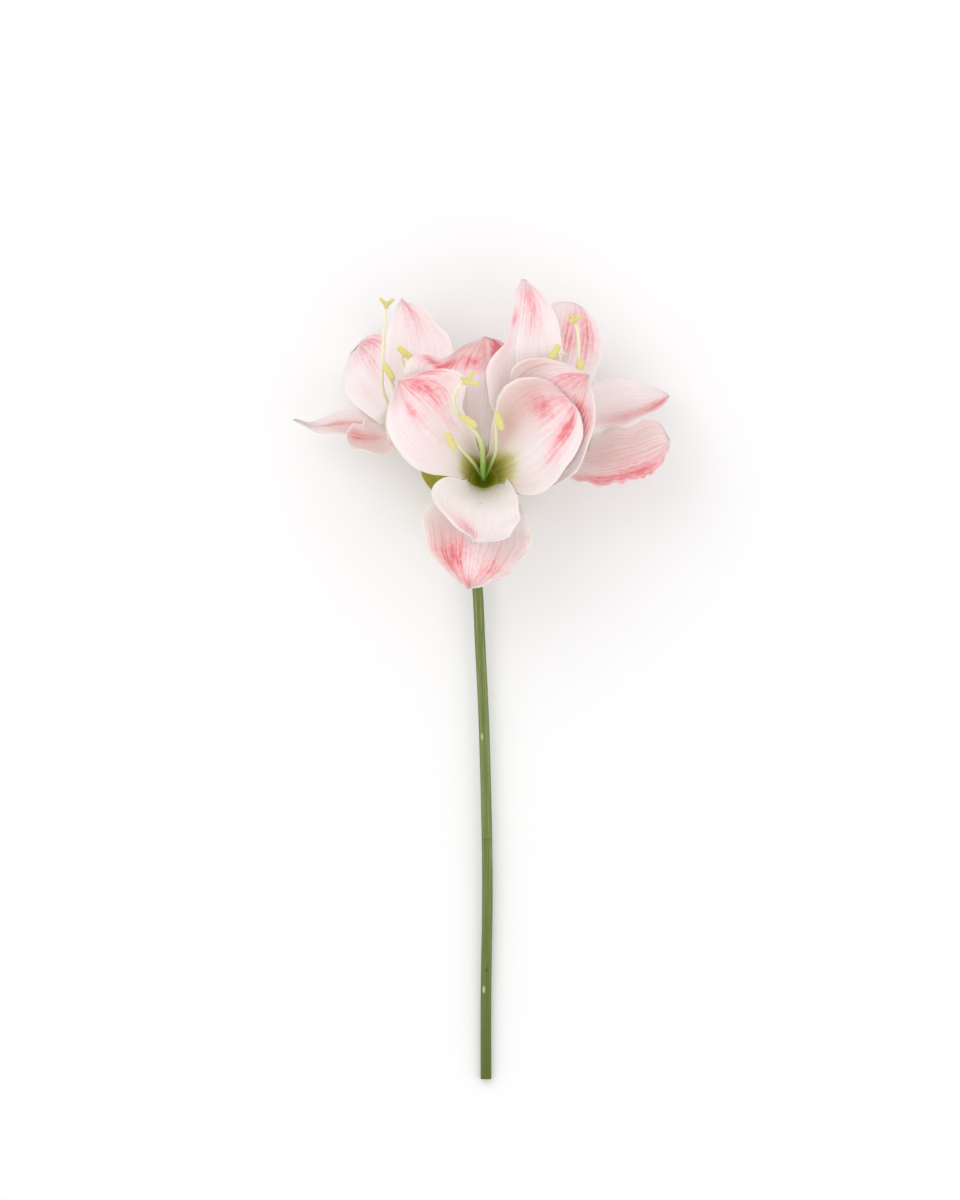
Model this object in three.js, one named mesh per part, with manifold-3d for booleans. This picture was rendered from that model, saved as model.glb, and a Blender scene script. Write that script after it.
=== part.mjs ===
// Amaryllis (Hippeastrum): one cut stem with three open blooms, lying on a flat surface.
// Millimetres. X runs across the stem, Y along it towards the blooms, Z up from the surface.
// The flower is set out in its own frame, as seen from above: its scape lies along -Y at z = 0 and
// the front bloom's throat is straight above x = 0, y = 0. The group lays that frame on the surface.

import * as THREE from 'three';
import { mergeVertices } from 'three/addons/utils/BufferGeometryUtils.js';
import Module from 'manifold-3d';

const wasm = await Module();
wasm.setup();

// Driving dimensions: how the flower lies
const tilt = THREE.MathUtils.degToRad(1.6);
const centreX = -1.5;
const centreY = -172.4;
const restDepth = 0.35;

// Driving dimensions: stalks
const scapeRadius = 4.5;
const scapeEnd = -512;
const scapeX = 1.7;
const scapeLine = [
  [scapeX, scapeEnd, 0], [scapeX, -444, 0], [2.9, -340, 0], [0.3, -220, 0],
  [-3.4, -138, 0], [-5.5, -94, 0], [-9.5, -56, 0], [-9.5, -46, 0],
];
const umbel = [-9.5, -36, 0];
const receptacleRadius = 6.8;
const pedicelRadius = 2.4;
const pedicelSpread = 3.6;
const ovaryLength = 16;
const seat = 0.3;

// Driving dimensions: blooms
const tubeLength = 28;
const throatDepth = 18;
const tepalThickness = 0.8;
const bractThickness = 0.8;
const styleRadius = 2.1;
const filamentRadius = 1.6;
const antherRadius = 3.1;
const antherLength = 16.5;
const lobeRadius = 1.7;
const tepalRows = 11;
const tepalColumns = 6;

// The height of the flower's frame over the surface leaves a small flat on the scape's cut end
const lift = -scapeEnd * Math.sin(tilt) + (scapeRadius - restDepth) * Math.cos(tilt);

const vector = (numbers) => new THREE.Vector3(...numbers);
const up = new THREE.Vector3(0, 1, 0);

// Each tepal has the clock angle where it leaves the throat, the stations of its midrib after that,
// half widths on its two sides, how far along it is widest, how blunt its tip is, how far its sides
// bend up from the midrib in the middle and at the tip, a turn about the midrib, the waves of its
// margin (height, count, phase), and where needed how slim it stays below its widest place, a notch
// or a lobe in one side (side, place, spread, depth), the widths of its claw and of its tip's end, the
// bend of its claw, an extra bend of each half and how deep one side sags towards the base (side,
// distance from the midrib, spread, depth). A bloom's girth is how thick its style is.
const blooms = [
  {
    name: 'front',
    ring: [0, 0, 66],
    axis: [0.03, 0.1, 0.995],
    girth: 1,
    pedicel: { angle: 90, rise: 20, arrive: 18 },
    tepals: [
      { clock: 138, rib: [[-27, 32, 98], [-52, 60, 112], [-72, 82, 110]], wide: [45, 44],
        peak: [0.62, 0.72], blunt: [0.8, 0.8], slim: [2.3, 5], cup: [0.5, 0.3], twist: [0, 0],
        wave: [1.5, 2, 0.2], notch: [1, 0.56, 0.1, 0.3] },
      { clock: 38, rib: [[30, 23, 98], [54, 43, 117], [76, 63, 116]], wide: [50, 44],
        peak: [0.74, 0.5], blunt: [0.32, 0.55], slim: [2.6, 2], cup: [0.65, 0.4], twist: [0, 0],
        wave: [1.2, 2, 0.6] },
      { clock: 268, rib: [[-5, -24, 90], [-8, -44, 112], [-8, -55, 132]], wide: [40, 45],
        peak: [0.55, 0.45], blunt: [0.34, 2.6], slim: [1, 5], end: [6, 2], cup: [0.9, 0.4],
        twist: [0, 0], wave: [1.2, 3, 0.1], drop: [0, -0.3], claw: 20.5, cupBase: 1.5 },
      { clock: 96, outer: true, rib: [[-5, 36, 84], [-3, 76, 92], [0, 120, 86]], wide: [66, 34],
        peak: [0.76, 0.74], blunt: [1.3, 0.4], sag: [0, 33, 12, 9.8], cup: [0.4, 0.1],
        twist: [0, 0], wave: [4, 2.6, 0.3], drop: [0, -0.8] },
      { clock: 30, outer: true, rib: [[33, 28, 90], [64, 60, 107], [89, 87, 102]], wide: [53, 52],
        peak: [0.74, 0.5], blunt: [0.85, 1.05], slim: [8, 1], cup: [0.6, 0.4], twist: [0, 0],
        wave: [1.5, 3, 0.0] },
      { clock: 262, outer: true, rib: [[-4, -32, 82], [-8, -64, 98], [-13, -94, 100]], wide: [47, 49],
        peak: [0.52, 0.5], blunt: [0.8, 0.85], cup: [0.35, 0.2], twist: [0, 0], wave: [2.5, 3, 0.3] },
    ],
    style: [[-1, 5, 78], [-2.5, 29, 106], [-8, 40, 114], [-20, 52, 122], [-26, 64, 128], [-23, 76, 132]],
    stigma: { at: [-16, 81, 134], lobes: [[-20, 85, 139], [-8.5, 91, 136], [-3.4, 79, 135]] },
    stamens: [
      { line: [[-9, 13, 82], [-19, 24, 104]], at: [-28, 30.6, 116], along: [-0.38, 0.92, 0.1] },
      { line: [[0, 13, 80], [-3, 32, 108]], at: [-13, 48, 129.5], along: [0.8, -0.58, -0.1] },
      { line: [[6, 12, 78], [10, 24, 98]], at: [12.8, 48, 122], along: [-0.36, 0.93, 0.1] },
    ],
  },
  {
    name: 'left',
    ring: [-62, 44, 36],
    axis: [-0.7, 0.5, 0.51],
    girth: 0.7,
    pedicel: { angle: 210, rise: 24, arrive: 20 },
    tepals: [
      { clock: 90, rib: [[-58, 78, 54], [-55, 111, 54], [-60, 134, 46], [-70, 153, 34]], wide: [31, 34],
        peak: [0.6, 0.54], blunt: [0.9, 1.5], notch: [1, 0.73, 0.1, 0.3], cup: [0.3, 0.2],
        twist: [52, 48], wave: [1.5, 2, 0.3] },
      { clock: 150, outer: true, rib: [[-78, 66, 34], [-95, 92, 10], [-108, 113, -22.5]], wide: [30, 30],
        peak: 0.62, blunt: 0.5, cup: [0.4, 0.2], twist: [0, 0], wave: [1.5, 2, 0.1] },
      { clock: 210, rib: [[-85, 46, 28], [-111, 47, 24], [-143, 44, 22], [-162, 50, 24]], wide: [20, 17],
        peak: 0.42, blunt: 2, end: 2.5, cup: [0.7, 0.6], twist: [0, 0], wave: [1, 2, 0.2] },
      { clock: 270, outer: true, rib: [[-76, 36, 62], [-95, 32, 78], [-116, 35, 84]], wide: [26, 24],
        peak: [0.74, 0.6], blunt: [0.25, 0.6], slim: [6, 1], end: [24, 18], claw: 10, cup: [0.5, 0.4],
        twist: [-60, -60], wave: [1.5, 2, 0.4] },
      { clock: 330, rib: [[-58, 40, 72], [-66, 46, 90], [-78, 64, 94]], wide: [22, 22], peak: 0.6,
        blunt: 0.7, cup: [0.5, 0.3], twist: [0, 0], wave: [1.5, 2, 0.6] },
      { clock: 30, outer: true, rib: [[-44, 60, 58], [-32, 84, 70], [-32, 101, 62]], wide: [21, 21],
        peak: 0.6, blunt: 0.7, cup: [0.4, 0.3], twist: [0, 0], wave: [1.5, 2, 0.8] },
    ],
    style: [[-64, 46, 46], [-78, 58, 66], [-86, 76, 78], [-86, 100, 84], [-85, 125, 84]],
    stigma: { at: [-83, 146, 82], lobes: [[-89, 153, 84], [-76.5, 152, 84], [-82, 149, 91]] },
    stamens: [
      { line: [[-58, 60, 60], [-63, 84, 76]], at: [-67, 106, 84], along: [0.76, -0.65, 0.1] },
      { line: [[-62, 52, 56], [-73, 70, 72]], at: [-81, 90, 92], along: [0.5, -0.86, 0.1] },
      { line: [[-57.5, 54, 54.5], [-57.5, 70, 67]], at: [-58, 84, 80], along: [0.2, -0.9, 0.3] },
    ],
  },
  {
    name: 'right',
    ring: [54, 40, 48],
    axis: [0.72, 0.45, 0.53],
    girth: 0.7,
    pedicel: { angle: 330, rise: 24, arrive: 15 },
    tepals: [
      { clock: 150, rib: [[40, 58, 74], [30, 80, 90], [27, 108, 97], [33, 145, 86], [35, 169, 75]],
        wide: [28, 46], peak: [0.46, 0.5], blunt: [14, 1], end: [9, 1.5], notch: [0, 0.34, 0.08, -0.3],
        cup: [-0.1, 0.1], twist: [-78, -60], wave: [1, 3, 0.2], drop: [-0.7, 0] },
      { clock: 90, outer: true, rib: [[62, 72, 58], [70, 108, 58], [77, 149, 42]], wide: [34, 31],
        peak: 0.66, blunt: [0.42, 0.55], cup: [0.3, 0.2], twist: [-36, -36], wave: [1.5, 2, 0.5] },
      { clock: 355, rib: [[84, 50, 44], [112, 56, 36], [140, 62, 30], [157, 71, 26]], wide: [30.5, 12.5],
        peak: [0.64, 0.42], blunt: [0.8, 0.45], end: [2, 5], notch: [1, 0.78, 0.14, 0.3],
        cup: [0.2, 0.1], twist: [0, 0], wave: [1.5, 2, 0.2], drop: [0, -0.5] },
      { clock: 310, outer: true, rib: [[84, 14, 60], [120, 19, 63], [158, 32, 58]], wide: [31, 31],
        peak: [0.75, 0.42], blunt: [0.32, 0.62], notch: [0, 0.74, 0.1, 0.2], cup: [0.3, 0.1],
        twist: [60, 40], wave: [2.5, 3, 0.1] },
      { clock: 230, rib: [[58, 26, 76], [68, 20, 86], [82, 17, 82]], wide: [20, 20], peak: 0.6,
        blunt: 0.7, cup: [0.5, 0.3], twist: [0, 0], wave: [1.5, 2, 0.6] },
      { clock: 40, outer: true, rib: [[68, 68, 30], [76, 98, 6], [80, 121, -22]], wide: [26, 26],
        peak: 0.6, blunt: 0.6, cup: [0.4, 0.2], twist: [0, 0], wave: [1.5, 2, 0.9] },
    ],
    style: [[62, 54, 66], [74, 76, 80], [80, 100, 86], [80, 120, 86]],
    stigma: { at: [77, 134, 85], lobes: [[72, 140, 87], [84, 137, 87], [73, 132, 91]] },
    stamens: [
      { line: [[60, 46, 62], [74, 70, 86]], at: [81, 93, 98], along: [0.3, 0.9, 0.1] },
      { line: [[54, 50, 66], [60, 80, 94]], at: [59.8, 106, 103.5], along: [0.5, 0.85, 0.1] },
      { line: [[64, 42, 58], [80, 56, 72]], at: [85, 64, 77], along: [0.5, 0.8, 0.2] },
    ],
  },
];

// The two spathe bracts, with the outward side of the receptacle that each grows on
const bracts = [
  { name: 'spathe_bract_left', side: -1, rib: [[-28, -18, 4], [-42, 0, 8], [-54, 16, 10]],
    wide: [12, 12], peak: 0.5, blunt: 0.8, cup: [0.5, 0.5], twist: [-36, -116], wave: [0.5, 2, 0] },
  { name: 'spathe_bract_right', side: 1, rib: [[10, -22, -5], [24, -4, -8], [37, 12, -9]],
    wide: [12, 12], peak: 0.5, blunt: 0.8, cup: [0.5, 0.5], twist: [36, 116], wave: [0.5, 2, 0.5] },
];

const finish = (color, roughness) => new THREE.MeshStandardMaterial({ color, roughness, metalness: 0 });
const scapeGreen = finish(0x72853a, 0.55);
const bractOlive = finish(0x8a8f35, 0.7);
const tepalBlush = finish(0xf5d9d8, 0.6);
const filamentGreen = finish(0x9dbb4a, 0.5);
const pollenYellow = finish(0xece57f, 0.8);

// A closed geometry as a solid that can be joined and cut
function solid(geometry) {
  const bare = geometry.clone();
  bare.deleteAttribute('normal');
  bare.deleteAttribute('uv');
  const welded = mergeVertices(bare, 1e-4);
  const corners = welded.index.array;
  const kept = [];
  for (let i = 0; i < corners.length; i += 3) {
    const [a, b, c] = [corners[i], corners[i + 1], corners[i + 2]];
    if (a !== b && b !== c && c !== a) kept.push(a, b, c);
  }
  return new wasm.Manifold(new wasm.Mesh({
    numProp: 3,
    vertProperties: new Float32Array(welded.attributes.position.array),
    triVerts: new Uint32Array(kept),
  }));
}

// A body without the small sealed pockets and slivers that crossing blades can leave
function filled(body) {
  return body.decompose().reduce((most, next) => (next.volume() > most.volume() ? next : most));
}

// A named mesh from a solid
function piece(name, body, material) {
  const mesh = filled(body.simplify(0.01)).getMesh();
  const geometry = new THREE.BufferGeometry();
  geometry.setAttribute('position', new THREE.BufferAttribute(new Float32Array(mesh.vertProperties), 3));
  geometry.setIndex(new THREE.BufferAttribute(new Uint32Array(mesh.triVerts), 1));
  geometry.computeVertexNormals();
  const named = new THREE.Mesh(geometry, material);
  named.name = name;
  return named;
}

// What lies above the surface that the flower rests on
function aboveSurface(body) {
  return body.trimByPlane([0, Math.sin(tilt), Math.cos(tilt)], -lift);
}

const join = (solids) => wasm.Manifold.union(solids);

// A round stalk along a curve
function stalk(curve, radius, sides, steps) {
  const section = new THREE.Shape();
  for (let i = 0; i < sides; i++) {
    const angle = (2 * Math.PI * i) / sides;
    const [x, y] = [radius * Math.cos(angle), radius * Math.sin(angle)];
    if (i === 0) section.moveTo(x, y);
    else section.lineTo(x, y);
  }
  return solid(new THREE.ExtrudeGeometry(section, { steps, extrudePath: curve, curveSegments: 1 }));
}

// A turned solid whose profile of [radius, height] stands on a point and looks along an axis
function turned(profile, origin, axis, segments) {
  const geometry = new THREE.LatheGeometry(profile.map(([r, h]) => new THREE.Vector2(r, h)), segments);
  geometry.applyQuaternion(new THREE.Quaternion().setFromUnitVectors(up, axis));
  geometry.translate(origin.x, origin.y, origin.z);
  return solid(geometry);
}

// The point a share of the way along a smooth line through the stations
function along(stations, share) {
  const last = stations.length - 1;
  const reach = [0];
  for (let i = 1; i <= last; i++) reach.push(reach[i - 1] + stations[i].distanceTo(stations[i - 1]));
  const length = share * reach[last];
  let i = 0;
  while (i < last - 1 && length > reach[i + 1]) i++;
  const slope = (k) => {
    const [a, b] = [Math.max(k - 1, 0), Math.min(k + 1, last)];
    return stations[b].clone().sub(stations[a]).divideScalar(reach[b] - reach[a]);
  };
  const span = reach[i + 1] - reach[i];
  const s = (length - reach[i]) / span;
  return stations[i].clone().multiplyScalar((1 + 2 * s) * (1 - s) ** 2)
    .addScaledVector(slope(i), span * s * (1 - s) ** 2)
    .addScaledVector(stations[i + 1], s * s * (3 - 2 * s))
    .addScaledVector(slope(i + 1), span * s * s * (s - 1));
}

// A value that runs smoothly from the base through the middle to the tip
const blend = (base, middle, tip, u) => base * (1 - u) ** 2 + middle * 2 * u * (1 - u) + tip * u * u;

// A value that may differ on the two sides of the midrib
const onSide = (value, far) => (Array.isArray(value) ? value[far] : value);

// The half width of a blade, from a narrow claw to its widest place and in to its tip
function halfWidth(blade, u, far) {
  const widest = blade.wide[far];
  const peak = onSide(blade.peak, far);
  const [side, middle, spread, depth] = blade.notch ?? [far, 0, 1, 0];
  const kept = side === far ? 1 - depth * Math.exp(-(((u - middle) / spread) ** 2)) : 1;
  if (u < peak) {
    const growth = Math.sin((Math.PI / 2) * (u / peak)) ** onSide(blade.slim ?? 1, far);
    return kept * (blade.claw + (widest - blade.claw) * growth);
  }
  const s = (u - peak) / (1 - peak);
  const end = onSide(blade.end ?? 1.5, far) * (1 - 0.6 * THREE.MathUtils.smoothstep(u, 0.93, 1));
  return Math.max(end, kept * widest * (1 - s * s) ** onSide(blade.blunt, far));
}

// A point of a blade's middle surface: u from base to tip, v across from -1 to 1
function bladePoint(blade, u, v) {
  const middle = along(blade.stations, u);
  const tangent = along(blade.stations, Math.min(u + 0.01, 1))
    .sub(along(blade.stations, Math.max(u - 0.01, 0))).normalize();
  const side = blade.sideways(middle);
  side.addScaledVector(tangent, -side.dot(tangent)).normalize();
  side.applyAxisAngle(tangent, THREE.MathUtils.degToRad(blend(0, blade.twist[0], blade.twist[1], u)));
  const facing = side.clone().cross(tangent);
  const far = v < 0 ? 0 : 1;
  const [height, count, phase] = blade.wave;
  const swell = THREE.MathUtils.smoothstep(u, 0.25, 0.6);
  const turn = 2 * Math.PI * (count * u + phase + 0.37 * far);
  const width = halfWidth(blade, u, far) * (1 + 0.03 * swell * Math.cos(turn));
  const bend = blend(blade.cupBase, blade.cup[0], blade.cup[1], u) + (blade.drop ?? [0, 0])[far] * swell;
  const angle = Math.abs(bend) < 1e-3 ? 1e-3 : bend;
  const across = width * Math.sin(angle * v) / angle;
  const crest = swell * height * Math.abs(v) ** 3 * Math.sin(turn);
  const rise = width * (1 - Math.cos(angle * v)) / angle + crest;
  const [sagSide, sagPlace, sagSpread, sagDepth] = blade.sag ?? [far, 0, 1, 0];
  const sunk = sagSide === far ? sagDepth * THREE.MathUtils.smoothstep(u, 0.55, 0.85) : 0;
  const sag = sunk * Math.exp(-(((Math.abs(v) * width - sagPlace) / sagSpread) ** 2));
  return middle.addScaledVector(side, across).addScaledVector(facing, rise).addScaledVector(tangent, -sag);
}

// A thin closed blade of even thickness, with both faces split into triangles alike
function bladeSolid(blade, rows, columns, thickness) {
  const grid = [];
  for (let i = 0; i <= rows; i++) {
    for (let j = 0; j <= columns; j++) grid.push(bladePoint(blade, i / rows, (2 * j) / columns - 1));
  }
  const at = (i, j) => i * (columns + 1) + j;
  const clamp = THREE.MathUtils.clamp;
  const faces = [1, -1].map((sign) => grid.map((point, n) => {
    const [i, j] = [Math.floor(n / (columns + 1)), n % (columns + 1)];
    const lengthwise = grid[at(clamp(i + 1, 0, rows), j)].clone().sub(grid[at(clamp(i - 1, 0, rows), j)]);
    const crosswise = grid[at(i, clamp(j + 1, 0, columns))].clone()
      .sub(grid[at(i, clamp(j - 1, 0, columns))]);
    const normal = crosswise.cross(lengthwise).normalize();
    return point.clone().addScaledVector(normal, sign * thickness / 2);
  }));
  const under = grid.length;
  const index = [];
  const quad = (a, b, c, d) => index.push(a, b, c, a, c, d);
  for (let i = 0; i < rows; i++) {
    for (let j = 0; j < columns; j++) {
      const [a, b, c, d] = [at(i, j), at(i, j + 1), at(i + 1, j + 1), at(i + 1, j)];
      index.push(a, b, c, a, c, d);
      index.push(under + a, under + c, under + b, under + a, under + d, under + c);
    }
  }
  for (let i = 0; i < rows; i++) {
    quad(at(i, 0), at(i + 1, 0), under + at(i + 1, 0), under + at(i, 0));
    quad(at(i + 1, columns), at(i, columns), under + at(i, columns), under + at(i + 1, columns));
  }
  for (let j = 0; j < columns; j++) {
    quad(at(0, j + 1), at(0, j), under + at(0, j), under + at(0, j + 1));
    quad(at(rows, j), at(rows, j + 1), under + at(rows, j + 1), under + at(rows, j));
  }
  const geometry = new THREE.BufferGeometry();
  const positions = faces.flat().flatMap((p) => [p.x, p.y, p.z]);
  geometry.setAttribute('position', new THREE.Float32BufferAttribute(positions, 3));
  geometry.setIndex(index);
  return solid(geometry);
}

// The frame of a bloom: its ring centre, its axis and the direction at a clock angle round it
function bloomFrame(bloom) {
  const axis = vector(bloom.axis).normalize();
  const upward = up.clone().addScaledVector(axis, -up.dot(axis)).normalize();
  const rightward = upward.clone().cross(axis);
  const ring = vector(bloom.ring);
  const spoke = (degrees) => rightward.clone().multiplyScalar(Math.cos(THREE.MathUtils.degToRad(degrees)))
    .addScaledVector(upward, Math.sin(THREE.MathUtils.degToRad(degrees)));
  const place = (degrees, radius, height) => ring.clone()
    .addScaledVector(spoke(degrees), radius).addScaledVector(axis, height);
  return { axis, ring, place };
}

// A tepal leaves the wall of the throat and then follows its own midrib
function tepalSolid(tepal, frame) {
  const out = tepal.outer ? 1 : 0;
  const blade = {
    claw: 13,
    cupBase: 0.95,
    ...tepal,
    stations: [frame.place(tepal.clock, 9.2 + 0.6 * out, -8), frame.place(tepal.clock, 14 + out, 2 - out),
      ...tepal.rib.map(vector)],
    sideways: (point) => point.clone().sub(frame.ring).cross(frame.axis),
  };
  return bladeSolid(blade, tepalRows, tepalColumns, tepalThickness);
}

// The tube under the tepals and the wall of the throat, open above
function throatSolid(frame) {
  const profile = [
    [0, -tubeLength], [4.4, -tubeLength], [5, -22], [7.2, -14], [10.6, -6], [13, -1],
    [12, -0.6], [9.4, -5.6], [6, -13.4], [3.8, -throatDepth + 0.4], [0, -throatDepth],
  ];
  return turned(profile, frame.ring, frame.axis, 18);
}

function perianth(bloom, frame) {
  const body = join([throatSolid(frame), ...bloom.tepals.map((tepal) => tepalSolid(tepal, frame))]);
  return piece(`perianth_${bloom.name}`, aboveSurface(body), tepalBlush);
}

// The pedicel climbs from the receptacle and swells into the ovary under the tube
function pedicel(bloom, frame) {
  const angle = THREE.MathUtils.degToRad(bloom.pedicel.angle);
  const start = vector(umbel).add(new THREE.Vector3(
    pedicelSpread * Math.cos(angle), seat, pedicelSpread * Math.sin(angle)));
  const ovaryTop = frame.place(0, 0, -tubeLength - seat);
  const ovaryBase = ovaryTop.clone().addScaledVector(frame.axis, -ovaryLength);
  const curve = new THREE.CubicBezierCurve3(
    start,
    start.clone().addScaledVector(up, bloom.pedicel.rise),
    ovaryBase.clone().addScaledVector(frame.axis, -bloom.pedicel.arrive),
    ovaryBase.clone().addScaledVector(frame.axis, 1),
  );
  const ovary = turned(
    [[0, 0], [2.6, 0], [4.4, 4], [5.3, 8], [5, 12], [4.2, ovaryLength], [0, ovaryLength]],
    ovaryBase, frame.axis, 11);
  const body = join([stalk(curve, pedicelRadius, 9, 8), ovary]);
  return piece(`pedicel_and_ovary_${bloom.name}`, body, scapeGreen);
}

// Where a filament meets the back of its anther, and the anther's own direction
function antherSeat(stamen) {
  const at = vector(stamen.at);
  const direction = vector(stamen.along).normalize();
  const back = vector(stamen.line.at(-1)).sub(at);
  back.addScaledVector(direction, -back.dot(direction)).normalize();
  return { at, direction, back };
}

// The style and three filaments stand together on the floor of the throat
function styleAndFilaments(bloom, frame) {
  const floor = frame.place(0, 0, -throatDepth + seat);
  const root = [floor.clone().addScaledVector(frame.axis, 1), floor.clone().addScaledVector(frame.axis, 6)];
  const foot = turned([[0, 0], [3, 0.3], [3, 2.6], [0, 3]], floor, frame.axis, 10);
  const tip = vector(bloom.stigma.at);
  const before = vector(bloom.style.at(-1)).sub(tip).normalize();
  const styleTop = tip.clone().addScaledVector(before, 1.5 * lobeRadius + seat);
  const styleLine = [...root, ...bloom.style.map(vector), styleTop];
  const parts = [foot, stalk(new THREE.CatmullRomCurve3(styleLine), styleRadius * bloom.girth, 6, 12)];
  for (const stamen of bloom.stamens) {
    const { at, back } = antherSeat(stamen);
    const end = at.clone().addScaledVector(back, antherRadius + seat);
    const line = [...root, ...stamen.line.map(vector), end.clone().addScaledVector(back, 3), end];
    parts.push(stalk(new THREE.CatmullRomCurve3(line), filamentRadius, 5, 9));
  }
  return piece(`style_and_filaments_${bloom.name}`, join(parts), filamentGreen);
}

function anther(bloom, stamen, number) {
  const { at, direction } = antherSeat(stamen);
  const geometry = new THREE.CapsuleGeometry(antherRadius, antherLength - 2 * antherRadius, 2, 7);
  geometry.applyQuaternion(new THREE.Quaternion().setFromUnitVectors(up, direction));
  geometry.translate(at.x, at.y, at.z);
  return piece(`anther_${bloom.name}_${number}`, solid(geometry), pollenYellow);
}

// Three lobes spread from the hub at the style's tip
function stigma(bloom) {
  const hub = vector(bloom.stigma.at);
  const ball = new THREE.SphereGeometry(1.5 * lobeRadius, 7, 5).translate(hub.x, hub.y, hub.z);
  const lobes = bloom.stigma.lobes.map((tip) => {
    const reach = vector(tip).sub(hub);
    const geometry = new THREE.CapsuleGeometry(lobeRadius, reach.length() - lobeRadius, 2, 6);
    geometry.applyQuaternion(new THREE.Quaternion().setFromUnitVectors(up, reach.clone().normalize()));
    const centre = hub.clone().addScaledVector(reach, 0.5);
    return solid(geometry.translate(centre.x, centre.y, centre.z));
  });
  return piece(`stigma_${bloom.name}`, join([solid(ball), ...lobes]), pollenYellow);
}

// The long bare stalk with the receptacle that it swells into, flat on top
function scape() {
  const rod = stalk(new THREE.CatmullRomCurve3(scapeLine.map(vector)), scapeRadius, 12, 16);
  const receptacle = turned(
    [[0, -16], [scapeRadius - 0.2, -16], [5.4, -11], [receptacleRadius, -8], [receptacleRadius, 0], [0, 0]],
    vector(umbel), up, 18);
  return piece('scape', aboveSurface(join([rod, receptacle])), scapeGreen);
}

// A bract hugs the side of the receptacle and then leans out
function bract(spec) {
  const hug = receptacleRadius + seat + bractThickness / 2 + 0.4;
  const [x, y, z] = umbel;
  const blade = {
    ...spec,
    claw: 7,
    cupBase: 1,
    stations: [new THREE.Vector3(x + spec.side * hug, y - 8, z),
      new THREE.Vector3(x + spec.side * (hug + 0.3), y, z), ...spec.rib.map(vector)],
    sideways: () => new THREE.Vector3(0, 0, spec.side),
  };
  return piece(spec.name, bladeSolid(blade, 8, 4, bractThickness), bractOlive);
}

const flower = new THREE.Group();
flower.add(scape());
flower.add(...bracts.map(bract));
for (const bloom of blooms) {
  const frame = bloomFrame(bloom);
  flower.add(pedicel(bloom, frame), perianth(bloom, frame), styleAndFilaments(bloom, frame));
  bloom.stamens.forEach((stamen, i) => flower.add(anther(bloom, stamen, i + 1)));
  flower.add(stigma(bloom));
}
flower.rotation.x = tilt;
flower.position.set(-centreX, -centreY, lift);
flower.updateMatrixWorld(true);

export default flower;
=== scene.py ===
# Amaryllis: a cut stem with three open blooms, laid on a pale floor and seen from above.
# The flower is set out in millimetres in its own frame, as seen from above: its scape lies along -Y
# at z = 0 and the front bloom's throat is above x = 0, y = 0. The row's frame is in metres.

import math

import bmesh
import bpy
from mathutils import Matrix, Quaternion, Vector, geometry, noise


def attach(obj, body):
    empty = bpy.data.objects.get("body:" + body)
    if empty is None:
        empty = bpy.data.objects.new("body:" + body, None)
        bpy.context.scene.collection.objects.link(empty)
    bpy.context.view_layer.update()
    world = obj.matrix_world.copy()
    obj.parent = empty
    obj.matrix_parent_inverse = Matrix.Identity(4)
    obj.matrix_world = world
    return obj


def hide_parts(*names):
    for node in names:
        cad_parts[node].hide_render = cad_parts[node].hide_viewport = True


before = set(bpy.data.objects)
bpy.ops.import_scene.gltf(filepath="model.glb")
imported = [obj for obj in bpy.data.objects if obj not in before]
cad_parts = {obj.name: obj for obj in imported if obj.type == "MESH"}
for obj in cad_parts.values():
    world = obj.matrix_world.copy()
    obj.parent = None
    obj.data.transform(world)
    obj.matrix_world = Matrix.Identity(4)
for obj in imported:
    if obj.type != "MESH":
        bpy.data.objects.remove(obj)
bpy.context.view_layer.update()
print("stage: frame loaded")

# How the flower lies
mm = 0.001
tilt = math.radians(1.6)
centreX = -1.5
centreY = -172.4
restDepth = 0.35
scapeRadius = 4.5
scapeEnd = -512
lift = -scapeEnd * math.sin(tilt) + (scapeRadius - restDepth) * math.cos(tilt)
toRow = (
    Matrix.Translation(Vector((-centreX, -centreY, lift)) * mm)
    @ Matrix.Rotation(tilt, 4, "X")
    @ Matrix.Scale(mm, 4)
)

# Camera: looks straight down on the flower's own frame through a long lens
viewCentre = Vector((-3.4, -103.7, 70))
viewDistance = 30000
viewHeight = 1020
sensorHeight = 36
camera = bpy.data.objects.new("camera", bpy.data.cameras.new("camera"))
camera.data.sensor_width = sensorHeight
camera.data.lens = sensorHeight * viewDistance / viewHeight
camera.data.clip_end = 60
camera.location = toRow @ (viewCentre + Vector((0, 0, viewDistance)))
camera.rotation_euler = (tilt, 0, 0)
bpy.context.scene.collection.objects.link(camera)
bpy.context.scene.camera = camera


# A colour from its sRGB hex value
def colour(hexValue):
    channels = [int(hexValue[i:i + 2], 16) / 255 for i in (0, 2, 4)]
    return [c / 12.92 if c <= 0.04045 else ((c + 0.055) / 1.055) ** 2.4 for c in channels] + [1]


# Adds a node: its inputs by name or number take a value, a socket or another node's first output
def addNode(tree, kind, links, stops=None, **settings):
    made = tree.nodes.new("ShaderNode" + kind)
    for name, value in settings.items():
        setattr(made, name, value)
    for key, value in links.items():
        if isinstance(key, int):
            socket = made.inputs[key]
        else:
            socket = next(s for s in made.inputs if s.enabled and s.name == key)
        if isinstance(value, bpy.types.Node):
            value = next(s for s in value.outputs if s.enabled)
        if isinstance(value, bpy.types.NodeSocket):
            tree.links.new(value, socket)
        else:
            socket.default_value = value
    for number, (position, value) in enumerate(stops or []):
        elements = made.color_ramp.elements
        element = elements[number] if number < 2 else elements.new(position)
        element.position = position
        element.color = value
    return made


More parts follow.
